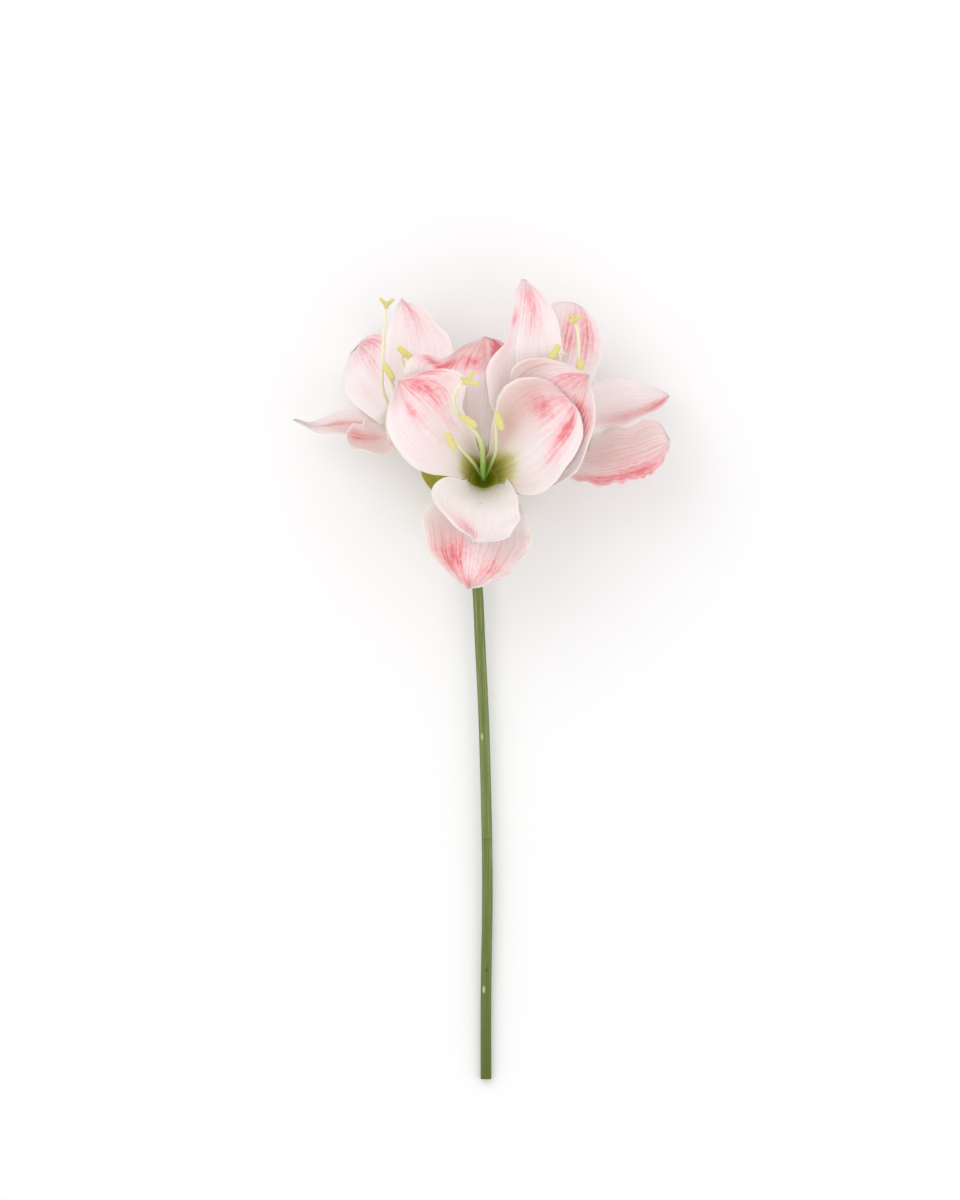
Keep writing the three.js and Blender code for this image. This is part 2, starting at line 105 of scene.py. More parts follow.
# A named material and its node tree, with a plain surface shader at its end
def newMaterial(name, **values):
    material = bpy.data.materials.new(name)
    material.use_nodes = True
    shader = material.node_tree.nodes["Principled BSDF"]
    for key, value in values.items():
        shader.inputs[key.replace("_", " ")].default_value = value
    return material, material.node_tree, shader


def smooth(low, high, value):
    share = min(max((value - low) / (high - low), 0), 1)
    return share * share * (3 - 2 * share)


# A value that runs smoothly from the base through the middle to the tip
def blend(base, middle, tip, u):
    return base * (1 - u) ** 2 + middle * 2 * u * (1 - u) + tip * u * u


# A value that may differ on the two sides of the midrib
def onSide(value, far):
    return value[far] if isinstance(value, (list, tuple)) else value


# The point a share of the way along a smooth line through the stations, as a function
def route(stations):
    points = [Vector(p) for p in stations]
    last = len(points) - 1
    reach = [0]
    for before, after in zip(points, points[1:]):
        reach.append(reach[-1] + (after - before).length)
    slopes = []
    for k in range(last + 1):
        a, b = max(k - 1, 0), min(k + 1, last)
        slopes.append((points[b] - points[a]) / (reach[b] - reach[a]))

    def at(share):
        length = share * reach[last]
        i = 0
        while i < last - 1 and length > reach[i + 1]:
            i += 1
        span = reach[i + 1] - reach[i]
        s = (length - reach[i]) / span
        return (
            points[i] * (1 + 2 * s) * (1 - s) ** 2
            + slopes[i] * span * s * (1 - s) ** 2
            + points[i + 1] * s * s * (3 - 2 * s)
            + slopes[i + 1] * span * s * s * (s - 1)
        )

    return at, reach[last]


# Each tepal has the clock angle where it leaves the throat, the stations of its midrib after that,
# half widths on its two sides, how far along it is widest, how blunt its tip is, how far its sides
# bend up from the midrib in the middle and at the tip, the waves of its margin (height, count, phase),
# and where needed a turn about the midrib, how slim it stays below its widest place, a notch or a lobe
# in one side (side, place, spread, depth), the widths of its claw and of its tip's end, the bend of its
# claw, an extra bend of each half, how deep one side sags towards the base (side, distance from the
# midrib, spread, depth), a frill along one margin (side, from, to, height, count) and the height of its
# pleats. Each spot of blush, or of painted shade (beige darkening where the tepal lies in shade, with a
# few real brown marks), is (across, along, spread across, spread along, strength), green is how far the
# throat's tint runs, and lines is how strong the pink lines are.
# Side 0 or 1 lies to the left or right of the midrib as seen from the throat towards the tip, with
# the inner face up. A bloom's girth is how thick its style is, and pale is how little green its
# stamens have.
blooms = [
    {
        "name": "front", "ring": (0, 0, 66), "axis": (0.03, 0.1, 0.995), "girth": 1, "pale": 0,
        "pedicel": {"angle": 90, "rise": 20, "arrive": 18},
        "tepals": [
            {"clock": 138, "rib": [(-27, 32, 98), (-52, 60, 112), (-72, 82, 110)], "wide": (45, 44),
             "peak": (0.62, 0.72), "blunt": (0.8, 0.8), "slim": (2.3, 5), "cup": (0.5, 0.3),
             "wave": (1.5, 2, 0.2), "notch": (1, 0.56, 0.1, 0.3),
             "blush": [(0.4, 0.88, 0.4, 0.12, 0.44), (-0.25, 0.78, 0.14, 0.1, 0.4),
                       (0.35, 0.68, 0.25, 0.18, 0.36), (0.95, 0.9, 0.14, 0.06, 0.6),
                       (0, 0.97, 1, 0.08, 0.3), (0, 0.75, 1, 0.3, 0.12)],
             "dusk": [(0.7, 0.3, 0.4, 0.2, 0.4), (-0.5, 0.96, 0.4, 0.08, 0.3)]},
            {"clock": 38, "rib": [(30, 23, 98), (54, 43, 117), (76, 63, 116)], "wide": (50, 44),
             "peak": (0.74, 0.5), "blunt": (0.32, 0.55), "slim": (2.6, 2), "cup": (0.65, 0.4),
             "wave": (1.2, 2, 0.6), "green": 0.2,
             "blush": [(0.4, 0.84, 0.17, 0.1, 1.0), (-0.35, 0.82, 0.27, 0.1, 0.52),
                       (-0.1, 0.97, 0.6, 0.05, 0.35), (0.55, 0.66, 0.2, 0.1, 0.3),
                       (0, 0.8, 1, 0.22, 0.14)],
             "dusk": [(-0.6, 0.55, 0.42, 0.3, 0.85), (-0.8, 0.9, 0.3, 0.15, 0.45),
                      (0.75, 0.3, 0.4, 0.2, 0.3)]},
            {"clock": 268, "rib": [(-5, -24, 90), (-8, -44, 112), (-8, -55, 132)], "wide": (40, 45),
             "peak": (0.55, 0.45), "blunt": (0.34, 2.6), "slim": (1, 5), "end": (6, 2),
             "cup": (0.9, 0.4), "wave": (1.2, 3, 0.1), "drop": (0, -0.3),
             "claw": 20.5, "cupBase": 1.5, "green": 0.03,
             "blush": [(0.45, 0.77, 0.3, 0.14, 0.6), (0.1, 0.85, 0.2, 0.12, 0.36)],
             "dusk": [(-0.03, 0.34, 0.02, 0.012, 1)]},
            {"clock": 96, "outer": True, "rib": [(-5, 36, 84), (-3, 76, 92), (0, 120, 86)],
             "wide": (66, 34), "peak": (0.76, 0.74), "blunt": (1.3, 0.4), "sag": (0, 33, 12, 9.8),
             "cup": (0.4, 0.1), "wave": (4, 2.6, 0.3), "drop": (0, -0.8),
             "green": 0.14, "lines": 0.15, "pleat": 0.3,
             "blush": [(-0.62, 0.84, 0.35, 0.035, 0.9), (-0.1, 0.8, 0.2, 0.05, 0.6),
                       (0.5, 0.93, 0.14, 0.07, 1.0), (0.34, 0.84, 0.1, 0.08, 1.0),
                       (0.2, 0.75, 0.08, 0.07, 0.7), (0, 0.92, 0.6, 0.1, 0.36),
                       (0.75, 0.95, 0.3, 0.08, 0.3)],
             "dusk": [(0, 0.5, 0.7, 0.25, 0.12), (-0.1, 0.94, 0.6, 0.1, 0.5),
                      (-0.7, 0.92, 0.3, 0.04, 0.5)]},
            {"clock": 30, "outer": True, "rib": [(33, 28, 90), (64, 60, 107), (89, 87, 102)],
             "wide": (53, 52), "peak": (0.74, 0.5), "blunt": (0.85, 1.05), "slim": (8, 1),
             "cup": (0.6, 0.4), "wave": (1.5, 3, 0.0), "green": 0.1, "pleat": 0.3,
             "lines": 0.15,
             "blush": [(-0.1, 0.77, 0.2, 0.035, 1.0), (0.3, 0.78, 0.25, 0.05, 0.6),
                       (0.6, 0.74, 0.3, 0.08, 0.7), (0.05, 0.97, 0.35, 0.06, 0.42),
                       (-0.4, 0.86, 0.35, 0.08, 0.16), (0, 0.9, 0.9, 0.12, 0.26)],
             "dusk": [(0.6, 0.76, 0.4, 0.08, 0.5), (-0.87, 0.8, 0.25, 0.1, 0.55),
                      (0.2, 0.9, 0.5, 0.1, 0.3)]},
            {"clock": 262, "outer": True, "rib": [(-4, -32, 82), (-8, -64, 98), (-13, -94, 100)],
             "wide": (47, 49), "peak": (0.52, 0.5), "blunt": (0.8, 0.85), "cup": (0.35, 0.2),
             "wave": (2.5, 3, 0.3), "green": 0.1, "frill": (0, 0.45, 1, 3, 6),
             "pleat": 0.6, "lines": 0.28,
             "blush": [(0.5, 0.78, 0.28, 0.14, 0.62), (0.3, 0.62, 0.2, 0.1, 0.3),
                       (0.05, 0.97, 0.4, 0.06, 0.5), (-0.4, 0.82, 0.35, 0.12, 0.34),
                       (0, 0.8, 1, 0.2, 0.12)],
             "dusk": [(0, 0.97, 0.6, 0.08, 0.3), (0.7, 0.62, 0.35, 0.2, 0.6),
                      (-0.7, 0.7, 0.4, 0.2, 0.3)]},
        ],
        "style": [(-1, 5, 78), (-2.5, 29, 106), (-8, 40, 114), (-20, 52, 122), (-26, 64, 128),
                  (-23, 76, 132)],
        "stigma": {"at": (-16, 81, 134), "lobes": [(-20, 85, 139), (-8.5, 91, 136), (-3.4, 79, 135)]},
        "stamens": [
            {"line": [(-9, 13, 82), (-19, 24, 104)], "at": (-28, 30.6, 116), "along": (-0.38, 0.92, 0.1)},
            {"line": [(0, 13, 80), (-3, 32, 108)], "at": (-13, 48, 129.5), "along": (0.8, -0.58, -0.1)},
            {"line": [(6, 12, 78), (10, 24, 98)], "at": (12.8, 48, 122), "along": (-0.36, 0.93, 0.1)},
        ],
    },
    {
        "name": "left", "ring": (-62, 44, 36), "axis": (-0.7, 0.5, 0.51), "girth": 0.7, "pale": 0.85,
        "pedicel": {"angle": 210, "rise": 24, "arrive": 20},
        "tepals": [
            {"clock": 90, "rib": [(-58, 78, 54), (-55, 111, 54), (-60, 134, 46), (-70, 153, 34)],
             "wide": (31, 34), "peak": (0.6, 0.54), "blunt": (0.9, 1.5), "notch": (1, 0.73, 0.1, 0.3),
             "cup": (0.3, 0.2), "twist": (52, 48), "wave": (1.5, 2, 0.3),
             "blush": [(0.05, 0.88, 0.3, 0.14, 0.38), (0.1, 0.97, 0.6, 0.05, 0.35),
                       (0.5, 0.7, 0.5, 0.2, 0.12), (0, 0.8, 1, 0.3, 0.08)]},
            {"clock": 150, "outer": True, "rib": [(-78, 66, 34), (-95, 92, 10), (-108, 113, -22.5)],
             "wide": (30, 30), "peak": 0.62, "blunt": 0.5, "cup": (0.4, 0.2),
             "wave": (1.5, 2, 0.1),
             "blush": [(0.7, 0.84, 0.3, 0.16, 0.5), (0.15, 0.72, 0.25, 0.22, 0.26),
                       (0, 0.9, 1, 0.12, 0.18)],
             "dusk": [(-0.3, 0.45, 0.6, 0.25, 0.3), (0.2, 0.93, 0.5, 0.06, 0.3)]},
            {"clock": 210, "rib": [(-85, 46, 28), (-111, 47, 24), (-143, 44, 22), (-162, 50, 24)],
             "wide": (20, 17), "peak": 0.42, "blunt": 2, "end": 2.5, "cup": (0.7, 0.6),
             "wave": (1, 2, 0.2),
             "blush": [(0.1, 0.65, 0.2, 0.12, 0.42), (0, 0.5, 0.12, 0.2, 0.26)],
             "dusk": [(0, 0.99, 1, 0.035, 1.0), (0, 0.9, 1, 0.08, 0.4), (-0.5, 0.45, 0.5, 0.25, 0.6),
                      (0, 0.6, 1, 0.3, 0.3)]},
            {"clock": 270, "outer": True, "rib": [(-76, 36, 62), (-95, 32, 78), (-116, 35, 84)],
             "wide": (26, 24), "peak": (0.74, 0.6), "blunt": (0.25, 0.6), "slim": (6, 1),
             "end": (24, 18), "claw": 10, "cup": (0.5, 0.4),
             "twist": (-60, -60), "wave": (1.5, 2, 0.4), "frill": (0, 0.55, 1, 1.6, 3.5),
             "blush": [(0.15, 0.75, 0.3, 0.2, 0.4), (0.2, 0.92, 0.6, 0.1, 0.4)],
             "dusk": [(-0.3, 0.8, 1.2, 0.4, 0.6)]},
            {"clock": 330, "rib": [(-58, 40, 72), (-66, 46, 90), (-78, 64, 94)], "wide": (22, 22),
             "peak": 0.6, "blunt": 0.7, "cup": (0.5, 0.3), "wave": (1.5, 2, 0.6),
             "blush": [(0.2, 0.85, 0.3, 0.15, 0.5)]},
            {"clock": 30, "outer": True, "rib": [(-44, 60, 58), (-32, 84, 70), (-32, 101, 62)],
             "wide": (21, 21), "peak": 0.6, "blunt": 0.7, "cup": (0.4, 0.3),
             "wave": (1.5, 2, 0.8), "blush": [(-0.2, 0.85, 0.3, 0.15, 0.4)]},
        ],
        "style": [(-64, 46, 46), (-78, 58, 66), (-86, 76, 78), (-86, 100, 84), (-85, 125, 84)],
        "stigma": {"at": (-83, 146, 82), "lobes": [(-89, 153, 84), (-76.5, 152, 84), (-82, 149, 91)]},
        "stamens": [
            {"line": [(-58, 60, 60), (-63, 84, 76)], "at": (-67, 106, 84), "along": (0.76, -0.65, 0.1)},
            {"line": [(-62, 52, 56), (-73, 70, 72)], "at": (-81, 90, 92), "along": (0.5, -0.86, 0.1)},
            {"line": [(-57.5, 54, 54.5), (-57.5, 70, 67)], "at": (-58, 84, 80), "along": (0.2, -0.9, 0.3)},
        ],
    },
    {
        "name": "right", "ring": (54, 40, 48), "axis": (0.72, 0.45, 0.53), "girth": 0.7, "pale": 0.85,
        "pedicel": {"angle": 330, "rise": 24, "arrive": 15},
        "tepals": [
            {"clock": 150,
             "rib": [(40, 58, 74), (30, 80, 90), (27, 108, 97), (33, 145, 86), (35, 169, 75)],
             "wide": (28, 46), "peak": (0.46, 0.5), "blunt": (14, 1), "end": (9, 1.5),
             "notch": (0, 0.34, 0.08, -0.3), "cup": (-0.1, 0.1), "twist": (-78, -60),
             "wave": (1, 3, 0.2), "drop": (-0.7, 0), "green": 0.1,
             "blush": [(0.3, 0.79, 0.3, 0.13, 0.34), (-0.6, 0.76, 0.3, 0.06, 0.6),
                       (-0.7, 0.62, 0.3, 0.1, 0.25), (0.2, 0.93, 0.9, 0.08, 0.3),
                       (0, 0.9, 1, 0.14, 0.1)],
             "dusk": [(-0.5, 0.45, 0.5, 0.15, 0.3)]},
            {"clock": 90, "outer": True, "rib": [(62, 72, 58), (70, 108, 58), (77, 149, 42)],
             "wide": (34, 31), "peak": 0.66, "blunt": (0.42, 0.55), "cup": (0.3, 0.2),
             "twist": (-36, -36), "wave": (1.5, 2, 0.5), "lines": 0.1,
             "blush": [(0, 0.72, 0.2, 0.2, 0.42), (0.55, 0.76, 0.25, 0.2, 0.5),
                       (0, 0.85, 1, 0.2, 0.14)]},
            {"clock": 355, "rib": [(84, 50, 44), (112, 56, 36), (140, 62, 30), (157, 71, 26)],
             "wide": (30.5, 12.5), "peak": (0.64, 0.42), "blunt": (0.8, 0.45), "end": (2, 5),
             "notch": (1, 0.78, 0.14, 0.3), "cup": (0.2, 0.1),
             "wave": (1.5, 2, 0.2), "drop": (0, -0.5), "frill": (0, 0.3, 0.85, 1, 7),
             "blush": [(0.4, 0.9, 0.4, 0.12, 0.8), (0.5, 0.65, 0.4, 0.25, 0.36)],
             "dusk": [(0, 0.6, 0.8, 0.4, 0.3)]},
            {"clock": 310, "outer": True, "rib": [(84, 14, 60), (120, 19, 63), (158, 32, 58)],
             "wide": (31, 31), "peak": (0.75, 0.42), "blunt": (0.32, 0.62),
             "notch": (0, 0.74, 0.1, 0.2), "cup": (0.3, 0.1), "twist": (60, 40),
             "wave": (2.5, 3, 0.1), "frill": (1, 0.3, 1, 2.4, 8), "pleat": 0.5,
             "lines": 0.24,
             "blush": [(0.8, 0.5, 0.25, 0.2, 0.58), (0.75, 0.78, 0.26, 0.15, 0.52),
                       (0.3, 0.66, 0.6, 0.3, 0.22)],
             "dusk": [(-0.2, 0.6, 0.9, 0.4, 0.45), (-0.5, 0.85, 0.5, 0.15, 0.3)]},
            {"clock": 230, "rib": [(58, 26, 76), (68, 20, 86), (82, 17, 82)], "wide": (20, 20),
             "peak": 0.6, "blunt": 0.7, "cup": (0.5, 0.3), "wave": (1.5, 2, 0.6),
             "blush": [(0, 0.85, 0.3, 0.15, 0.4)]},
            {"clock": 40, "outer": True, "rib": [(68, 68, 30), (76, 98, 6), (80, 121, -22)],
             "wide": (26, 26), "peak": 0.6, "blunt": 0.6, "cup": (0.4, 0.2),
             "wave": (1.5, 2, 0.9), "blush": [(0.2, 0.8, 0.3, 0.2, 0.5)]},
        ],
        "style": [(62, 54, 66), (74, 76, 80), (80, 100, 86), (80, 120, 86)],
        "stigma": {"at": (77, 134, 85), "lobes": [(72, 140, 87), (84, 137, 87), (73, 132, 91)]},
        "stamens": [
            {"line": [(60, 46, 62), (74, 70, 86)], "at": (81, 93, 98), "along": (0.3, 0.9, 0.1)},
            {"line": [(54, 50, 66), (60, 80, 94)], "at": (59.8, 106, 103.5), "along": (0.5, 0.85, 0.1)},
            {"line": [(64, 42, 58), (80, 56, 72)], "at": (85, 64, 77), "along": (0.5, 0.8, 0.2)},
        ],
    },
]

# What a blade has where its own entry says nothing else
plainBlade = {"claw": 13, "cupBase": 0.95, "slim": 1, "end": 1.5, "notch": (0, 0, 1, 0), "drop": (0, 0),
              "sag": (0, 0, 1, 0), "frill": (0, 0, 1, 0, 1), "pleat": 0.12, "twist": (0, 0), "lines": 0.05,
              "green": 0.15}

# Relief of every petal: heights in millimetres, and how many waves it has across or along. Veins lie
# 1.6 mm apart on a petal 90 mm wide and fine veins 0.6 mm apart
petal = {"thickness": 0.8, "rows": 64, "columns": 112, "veinsAcross": 56, "veinsFine": 150,
         "sway": 0.03, "nibble": 0.02, "nibbles": 14, "ruffle": 1.3, "ruffles": 8, "ripple": 0.24,
         "ripplesAcross": 15, "ripplesAlong": 1.7, "pleatsAcross": 24, "curl": 0.9, "curlFrom": 0.84,
         "crease": 0.5, "creaseWidth": 1.6, "sidePhase": 0.37, "greenMidrib": 1.35, "greenLess": 0.75}


# Petal tissue: thin, soft, moist cells, so light goes a little way in and the sheen is faint
def petalMaterial(name, white):
    material, tree, shader = newMaterial(
        name, Roughness=0.62, Subsurface_Weight=0.12, Subsurface_Scale=0.002,
        Subsurface_Radius=(1.0, 0.55, 0.5), Sheen_Weight=0.12, Sheen_Roughness=0.5)
    value = {key: addNode(tree, "Attribute", {}, attribute_name=key).outputs["Fac"]
             for key in ("across", "lengthwise", "kind", "blush", "dusk", "green", "lines")}
    place = addNode(tree, "CombineXYZ", {"X": value["across"], "Y": value["lengthwise"],
                                         "Z": value["kind"]})
    coarse = addNode(tree, "VectorMath", {0: place, 1: (petal["veinsAcross"] / 2, 1.6, 7.3)},
                     operation="MULTIPLY")
    fine = addNode(tree, "VectorMath", {0: place, 1: (petal["veinsFine"] / 2, 2.4, 3.1)},
                   operation="MULTIPLY")
    cloud = addNode(tree, "VectorMath", {0: place, 1: (3.2, 5.5, 5.7)}, operation="MULTIPLY")
    dab = addNode(tree, "VectorMath", {0: place, 1: (12, 26, 3.7)}, operation="MULTIPLY")
    coarseVeins = addNode(tree, "TexNoise", {"Vector": coarse, "Scale": 1.0, "Detail": 2.0})
    fineVeins = addNode(tree, "TexNoise", {"Vector": fine, "Scale": 1.0, "Detail": 1.0})
    patches = addNode(tree, "TexNoise", {"Vector": cloud, "Scale": 1.0, "Detail": 3.0})
    dabs = addNode(tree, "TexNoise", {"Vector": dab, "Scale": 1.0, "Detail": 3.0})
    # Blush gathers along the veins and in small dabs
    veins = addNode(tree, "Math", {0: coarseVeins.outputs["Fac"], 1: fineVeins.outputs["Fac"]},
                    operation="ADD")
    streak = addNode(tree, "MapRange", {"Value": veins, "From Min": 0.72, "From Max": 1.28,
                                        "To Min": 0.62, "To Max": 1.34})
    patch = addNode(tree, "MapRange", {"Value": patches.outputs["Fac"], "From Min": 0.3,
                                       "From Max": 0.7, "To Min": 0.7, "To Max": 1.25})
    pink = addNode(tree, "Math", {0: value["blush"], 1: streak}, operation="MULTIPLY")
    pink = addNode(tree, "Math", {0: pink, 1: patch}, operation="MULTIPLY")
    mottle = addNode(tree, "MapRange", {"Value": dabs.outputs["Fac"], "From Min": 0.35,
                                        "From Max": 0.65, "To Min": 0.74, "To Max": 1.24})
    pink = addNode(tree, "Math", {0: pink, 1: mottle}, operation="MULTIPLY")
    faint = addNode(tree, "MapRange", {"Value": veins, "From Min": 0.95, "From Max": 1.3,
                                       "To Min": 0.0, "To Max": 0.08})
    pink = addNode(tree, "Math", {0: pink, 1: faint}, operation="ADD")
    drawn = addNode(tree, "MapRange", {"Value": coarseVeins.outputs["Fac"], "From Min": 0.46,
                                       "From Max": 0.66, "To Min": 0.0, "To Max": 1.0})
    drawn = addNode(tree, "Math", {0: drawn, 1: value["lines"]}, operation="MULTIPLY")
    drawn = addNode(tree, "Math", {0: drawn, 1: mottle}, operation="MULTIPLY")
    pink = addNode(tree, "Math", {0: pink, 1: drawn}, operation="ADD", use_clamp=True)
    tint = addNode(tree, "ValToRGB", {"Fac": pink}, stops=[
        (0.0, colour(white)), (1.0, colour("ee7b85")), (0.3, colour("fad6d9")),
        (0.62, colour("f6abb0"))])
    # Painted shade: a beige-mauve darkening where the tepals lie in shade and in their folds; the same
    # spots also give a few real brown marks, a browned tip and a small dark dot
    mauve = addNode(tree, "Mix", {"Factor": value["dusk"], "A": tint, "B": colour("dcbfb2")},
                    data_type="RGBA", blend_type="MULTIPLY")
    # The green of the throat runs up the midrib and thins out into the veins
    mild = addNode(tree, "MapRange", {"Value": veins, "From Min": 0.72, "From Max": 1.28,
                                      "To Min": 0.75, "To Max": 1.2})
    fade = addNode(tree, "Math", {0: value["green"], 1: mild}, operation="MULTIPLY")
    greenTint = addNode(tree, "ValToRGB", {"Fac": fade}, stops=[
        (0.0, colour("f2e8d0")), (1.0, colour("85821a")), (0.35, colour("d6cc96")),
        (0.7, colour("aba43a"))])
    greenShare = addNode(tree, "MapRange", {"Value": fade, "From Min": 0.0, "From Max": 0.3})
    body = addNode(tree, "Mix", {"Factor": greenShare, "A": mauve, "B": greenTint}, data_type="RGBA")
    # A cream rim along the margin
    reach = addNode(tree, "Math", {0: value["across"]}, operation="ABSOLUTE")
    rim = addNode(tree, "MapRange", {"Value": reach, "From Min": 0.93, "From Max": 0.99,
                                     "To Min": 0.0, "To Max": 0.6})
    whole = addNode(tree, "Mix", {"Factor": rim, "A": body, "B": colour("fbf4ea")}, data_type="RGBA")
    tree.links.new(whole.outputs[2], shader.inputs["Base Color"])
    relief = addNode(tree, "Bump", {"Strength": 0.5, "Distance": 0.0006, "Height": veins})
    tree.links.new(relief.outputs["Normal"], shader.inputs["Normal"])
    return material


def spots(marks, across, u):
    total = 0
    for acrossAt, alongAt, acrossSpread, alongSpread, strength in marks:
        away = ((across - acrossAt) / acrossSpread) ** 2 + ((u - alongAt) / alongSpread) ** 2
        total += strength * math.exp(-away)
    return min(total, 1)


# The half width of a blade, from a narrow claw to its widest place and in to its tip
def halfWidth(blade, u, far):
    widest = blade["wide"][far]
    peak = onSide(blade["peak"], far)
    side, middle, spread, depth = blade["notch"]
    kept = 1 - depth * math.exp(-((u - middle) / spread) ** 2) if side == far else 1
    if u < peak:
        growth = math.sin(math.pi / 2 * u / peak) ** onSide(blade["slim"], far)
        return kept * (blade["claw"] + (widest - blade["claw"]) * growth)
    s = (u - peak) / (1 - peak)
    end = onSide(blade["end"], far) * (1 - 0.6 * smooth(0.93, 1, u))
    return max(end, kept * widest * (1 - s * s) ** onSide(blade["blunt"], far))


# A frill starts and ends softly, its folds are uneven, and it reaches out less than it stands up
frill = {"fadeIn": 0.15, "fadeOut": 0.06, "past": 0.01, "uneven": 2.2, "changes": 7, "reach": 0.45,
         "reachWaves": 1.7}


# How far a frilled margin stands up and how far it reaches out at a place along it
def frillAt(blade, u, far):
    side, start, end, height, count = blade["frill"]
    last = end + frill["past"]
    if side != far or not start < u < last:
        return 0, 0
    strength = height * smooth(start, start + frill["fadeIn"], u) * smooth(last, end - frill["fadeOut"], u)
    uneven = noise.noise(Vector((u * frill["changes"], count, height)))
    turn = 2 * math.pi * count * u + frill["uneven"] * uneven
    return strength * math.sin(turn), frill["reach"] * strength * math.cos(frill["reachWaves"] * turn)


# Shapes a flat grid into a blade, row by row along its midrib. Each side of each blade reads its own
# stretch of the noise, and its relief grows from nothing at the claw to full height in the middle
def shapeBlade(verts, blade, layers, seed):
    line, _ = route(blade["stations"])
    rows = {}
    for vert in verts:
        rows.setdefault(round(vert.co.y + 0.5, 5), []).append(vert)
    height, count, phase = blade["wave"]
    sagSide, sagPlace, sagSpread, sagDepth = blade["sag"]
    for u, row in rows.items():
        middle = line(u)
        tangent = (line(min(u + 0.01, 1)) - line(max(u - 0.01, 0))).normalized()
        side = blade["sideways"](middle)
        side = (side - tangent * side.dot(tangent)).normalized()
        side = Quaternion(tangent, math.radians(blend(0, *blade["twist"], u))) @ side
        facing = side.cross(tangent)
        swell = smooth(0.25, 0.6, u)
        sinking = smooth(0.55, 0.85, u)
        for vert in row:
            across = 2 * vert.co.x
            far = 0 if across < 0 else 1
            edge = abs(across)
            turn = 2 * math.pi * (count * u + phase + petal["sidePhase"] * far)
            nibble = petal["nibble"] * swell * noise.noise(Vector((u * petal["nibbles"], 5.3 * far, seed)))
            width = halfWidth(blade, u, far) * (1 + petal["sway"] * swell * math.cos(turn) + nibble)
            frilled, scallop = frillAt(blade, u, far)
            width += scallop * edge ** 2
            bend = blend(blade["cupBase"], *blade["cup"], u) + blade["drop"][far] * swell
            angle = bend if abs(bend) > 1e-3 else 1e-3
            level = width * (1 - math.cos(angle * across)) / angle
            level += swell * height * edge ** 3 * math.sin(turn)
            ruffle = noise.noise(Vector((u * petal["ruffles"], 9.1 * far, seed)))
            level += swell * petal["ruffle"] * edge ** 4 * ruffle
            ripple = Vector((across * petal["ripplesAcross"], u * petal["ripplesAlong"], seed + 4))
            level += swell * petal["ripple"] * noise.noise(ripple)
            level -= petal["curl"] * swell * smooth(petal["curlFrom"], 1, edge)
            level += frilled * edge ** 6
            pleat = Vector((across * petal["pleatsAcross"], u, seed + 8))
            level += swell * blade["pleat"] * noise.noise(pleat)
            crease = math.exp(-(across * width / petal["creaseWidth"]) ** 2)
            level -= petal["crease"] * smooth(0.1, 0.3, u) * crease
            sunk = sagDepth * sinking * math.exp(-((edge * width - sagPlace) / sagSpread) ** 2)
            if sagSide != far:
                sunk = 0
            point = middle + side * (width * math.sin(angle * across) / angle) + facing * level
            point -= tangent * sunk
            place = toRow @ point
            place.z = max(place.z, petal["thickness"] * mm / 2)
            vert.co = place
            vert[layers["across"]] = across
            vert[layers["lengthwise"]] = u
            vert[layers["kind"]] = seed
            if "blush" in blade:
                vert[layers["blush"]] = spots(blade["blush"], across, u)
                # Painted shade in beige, with a few real brown marks, from the tepal's own spots
                vert[layers["dusk"]] = spots(blade.get("dusk", []), across, u)
                reach = blade["green"] * (petal["greenMidrib"] - petal["greenLess"] * edge)
                vert[layers["green"]] = 1 - smooth(0.0, reach * 2, u)
                vert[layers["lines"]] = blade["lines"] * smooth(0.3, 0.7, u)


# The frame of a bloom: its ring centre, its axis and a place round it
def bloomFrame(bloom):
    axis = Vector(bloom["axis"]).normalized()
    upward = Vector((0, 1, 0))
    upward = (upward - axis * upward.dot(axis)).normalized()
    rightward = upward.cross(axis)
    ring = Vector(bloom["ring"])

    def place(degrees, radius, rise):
        angle = math.radians(degrees)
        spoke = rightward * math.cos(angle) + upward * math.sin(angle)
        return ring + spoke * radius + axis * rise

    return axis, ring, place


# A mesh object from a bmesh, riding on the part in place of its plain solids
def addPiece(name, mesh, material, replaced):
    data = bpy.data.meshes.new(name)
    for face in mesh.faces:
        face.smooth = True
    mesh.to_mesh(data)
    mesh.free()
    data.materials.append(material)
    piece = bpy.data.objects.new(name, data)
    bpy.context.scene.collection.objects.link(piece)
    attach(piece, "root")
    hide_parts(*replaced)
    return piece


def floatLayers(mesh, *names):
    return {name: mesh.verts.layers.float.new(name) for name in names}


# A grid shaped as a blade and given its thickness
def bladePiece(name, blades, material, replaced, rows, columns, thickness):
    mesh = bmesh.new()
    layers = floatLayers(mesh, "across", "lengthwise", "kind", "blush", "dusk", "green", "lines")
    for seed, blade in enumerate(blades):
        made = bmesh.ops.create_grid(mesh, x_segments=columns, y_segments=rows, size=0.5)
        shapeBlade(made["verts"], blade, layers, seed + 1)
    piece = addPiece(name, mesh, material, replaced)
    shell = piece.modifiers.new("thickness", "SOLIDIFY")
    shell.thickness = thickness * mm
    shell.offset = 0
    return piece


# Each tepal starts in the tube's wall and leaves it at the rim, the outer three a little further out
tepalRoot = {"radius": 9.2, "height": -8, "rimRadius": 14, "rimHeight": 2, "outerRadius": 0.6,
             "outerRim": 1}


def tepalPiece(bloom, material):
    axis, ring, place = bloomFrame(bloom)
    blades = []
    for tepal in bloom["tepals"]:
        out = 1 if tepal.get("outer") else 0
        rimStep = tepalRoot["outerRim"] * out
        stations = [
            place(tepal["clock"], tepalRoot["radius"] + tepalRoot["outerRadius"] * out, tepalRoot["height"]),
            place(tepal["clock"], tepalRoot["rimRadius"] + rimStep, tepalRoot["rimHeight"] - rimStep),
        ]
        blades.append({
            **plainBlade,
            **tepal,
            "stations": stations + tepal["rib"],
            "sideways": lambda point: (point - ring).cross(axis),
        })
    return bladePiece(
        f"tepals_{bloom['name']}", blades, material,
        [f"perianth_{bloom['name']}"], petal["rows"], petal["columns"], petal["thickness"])


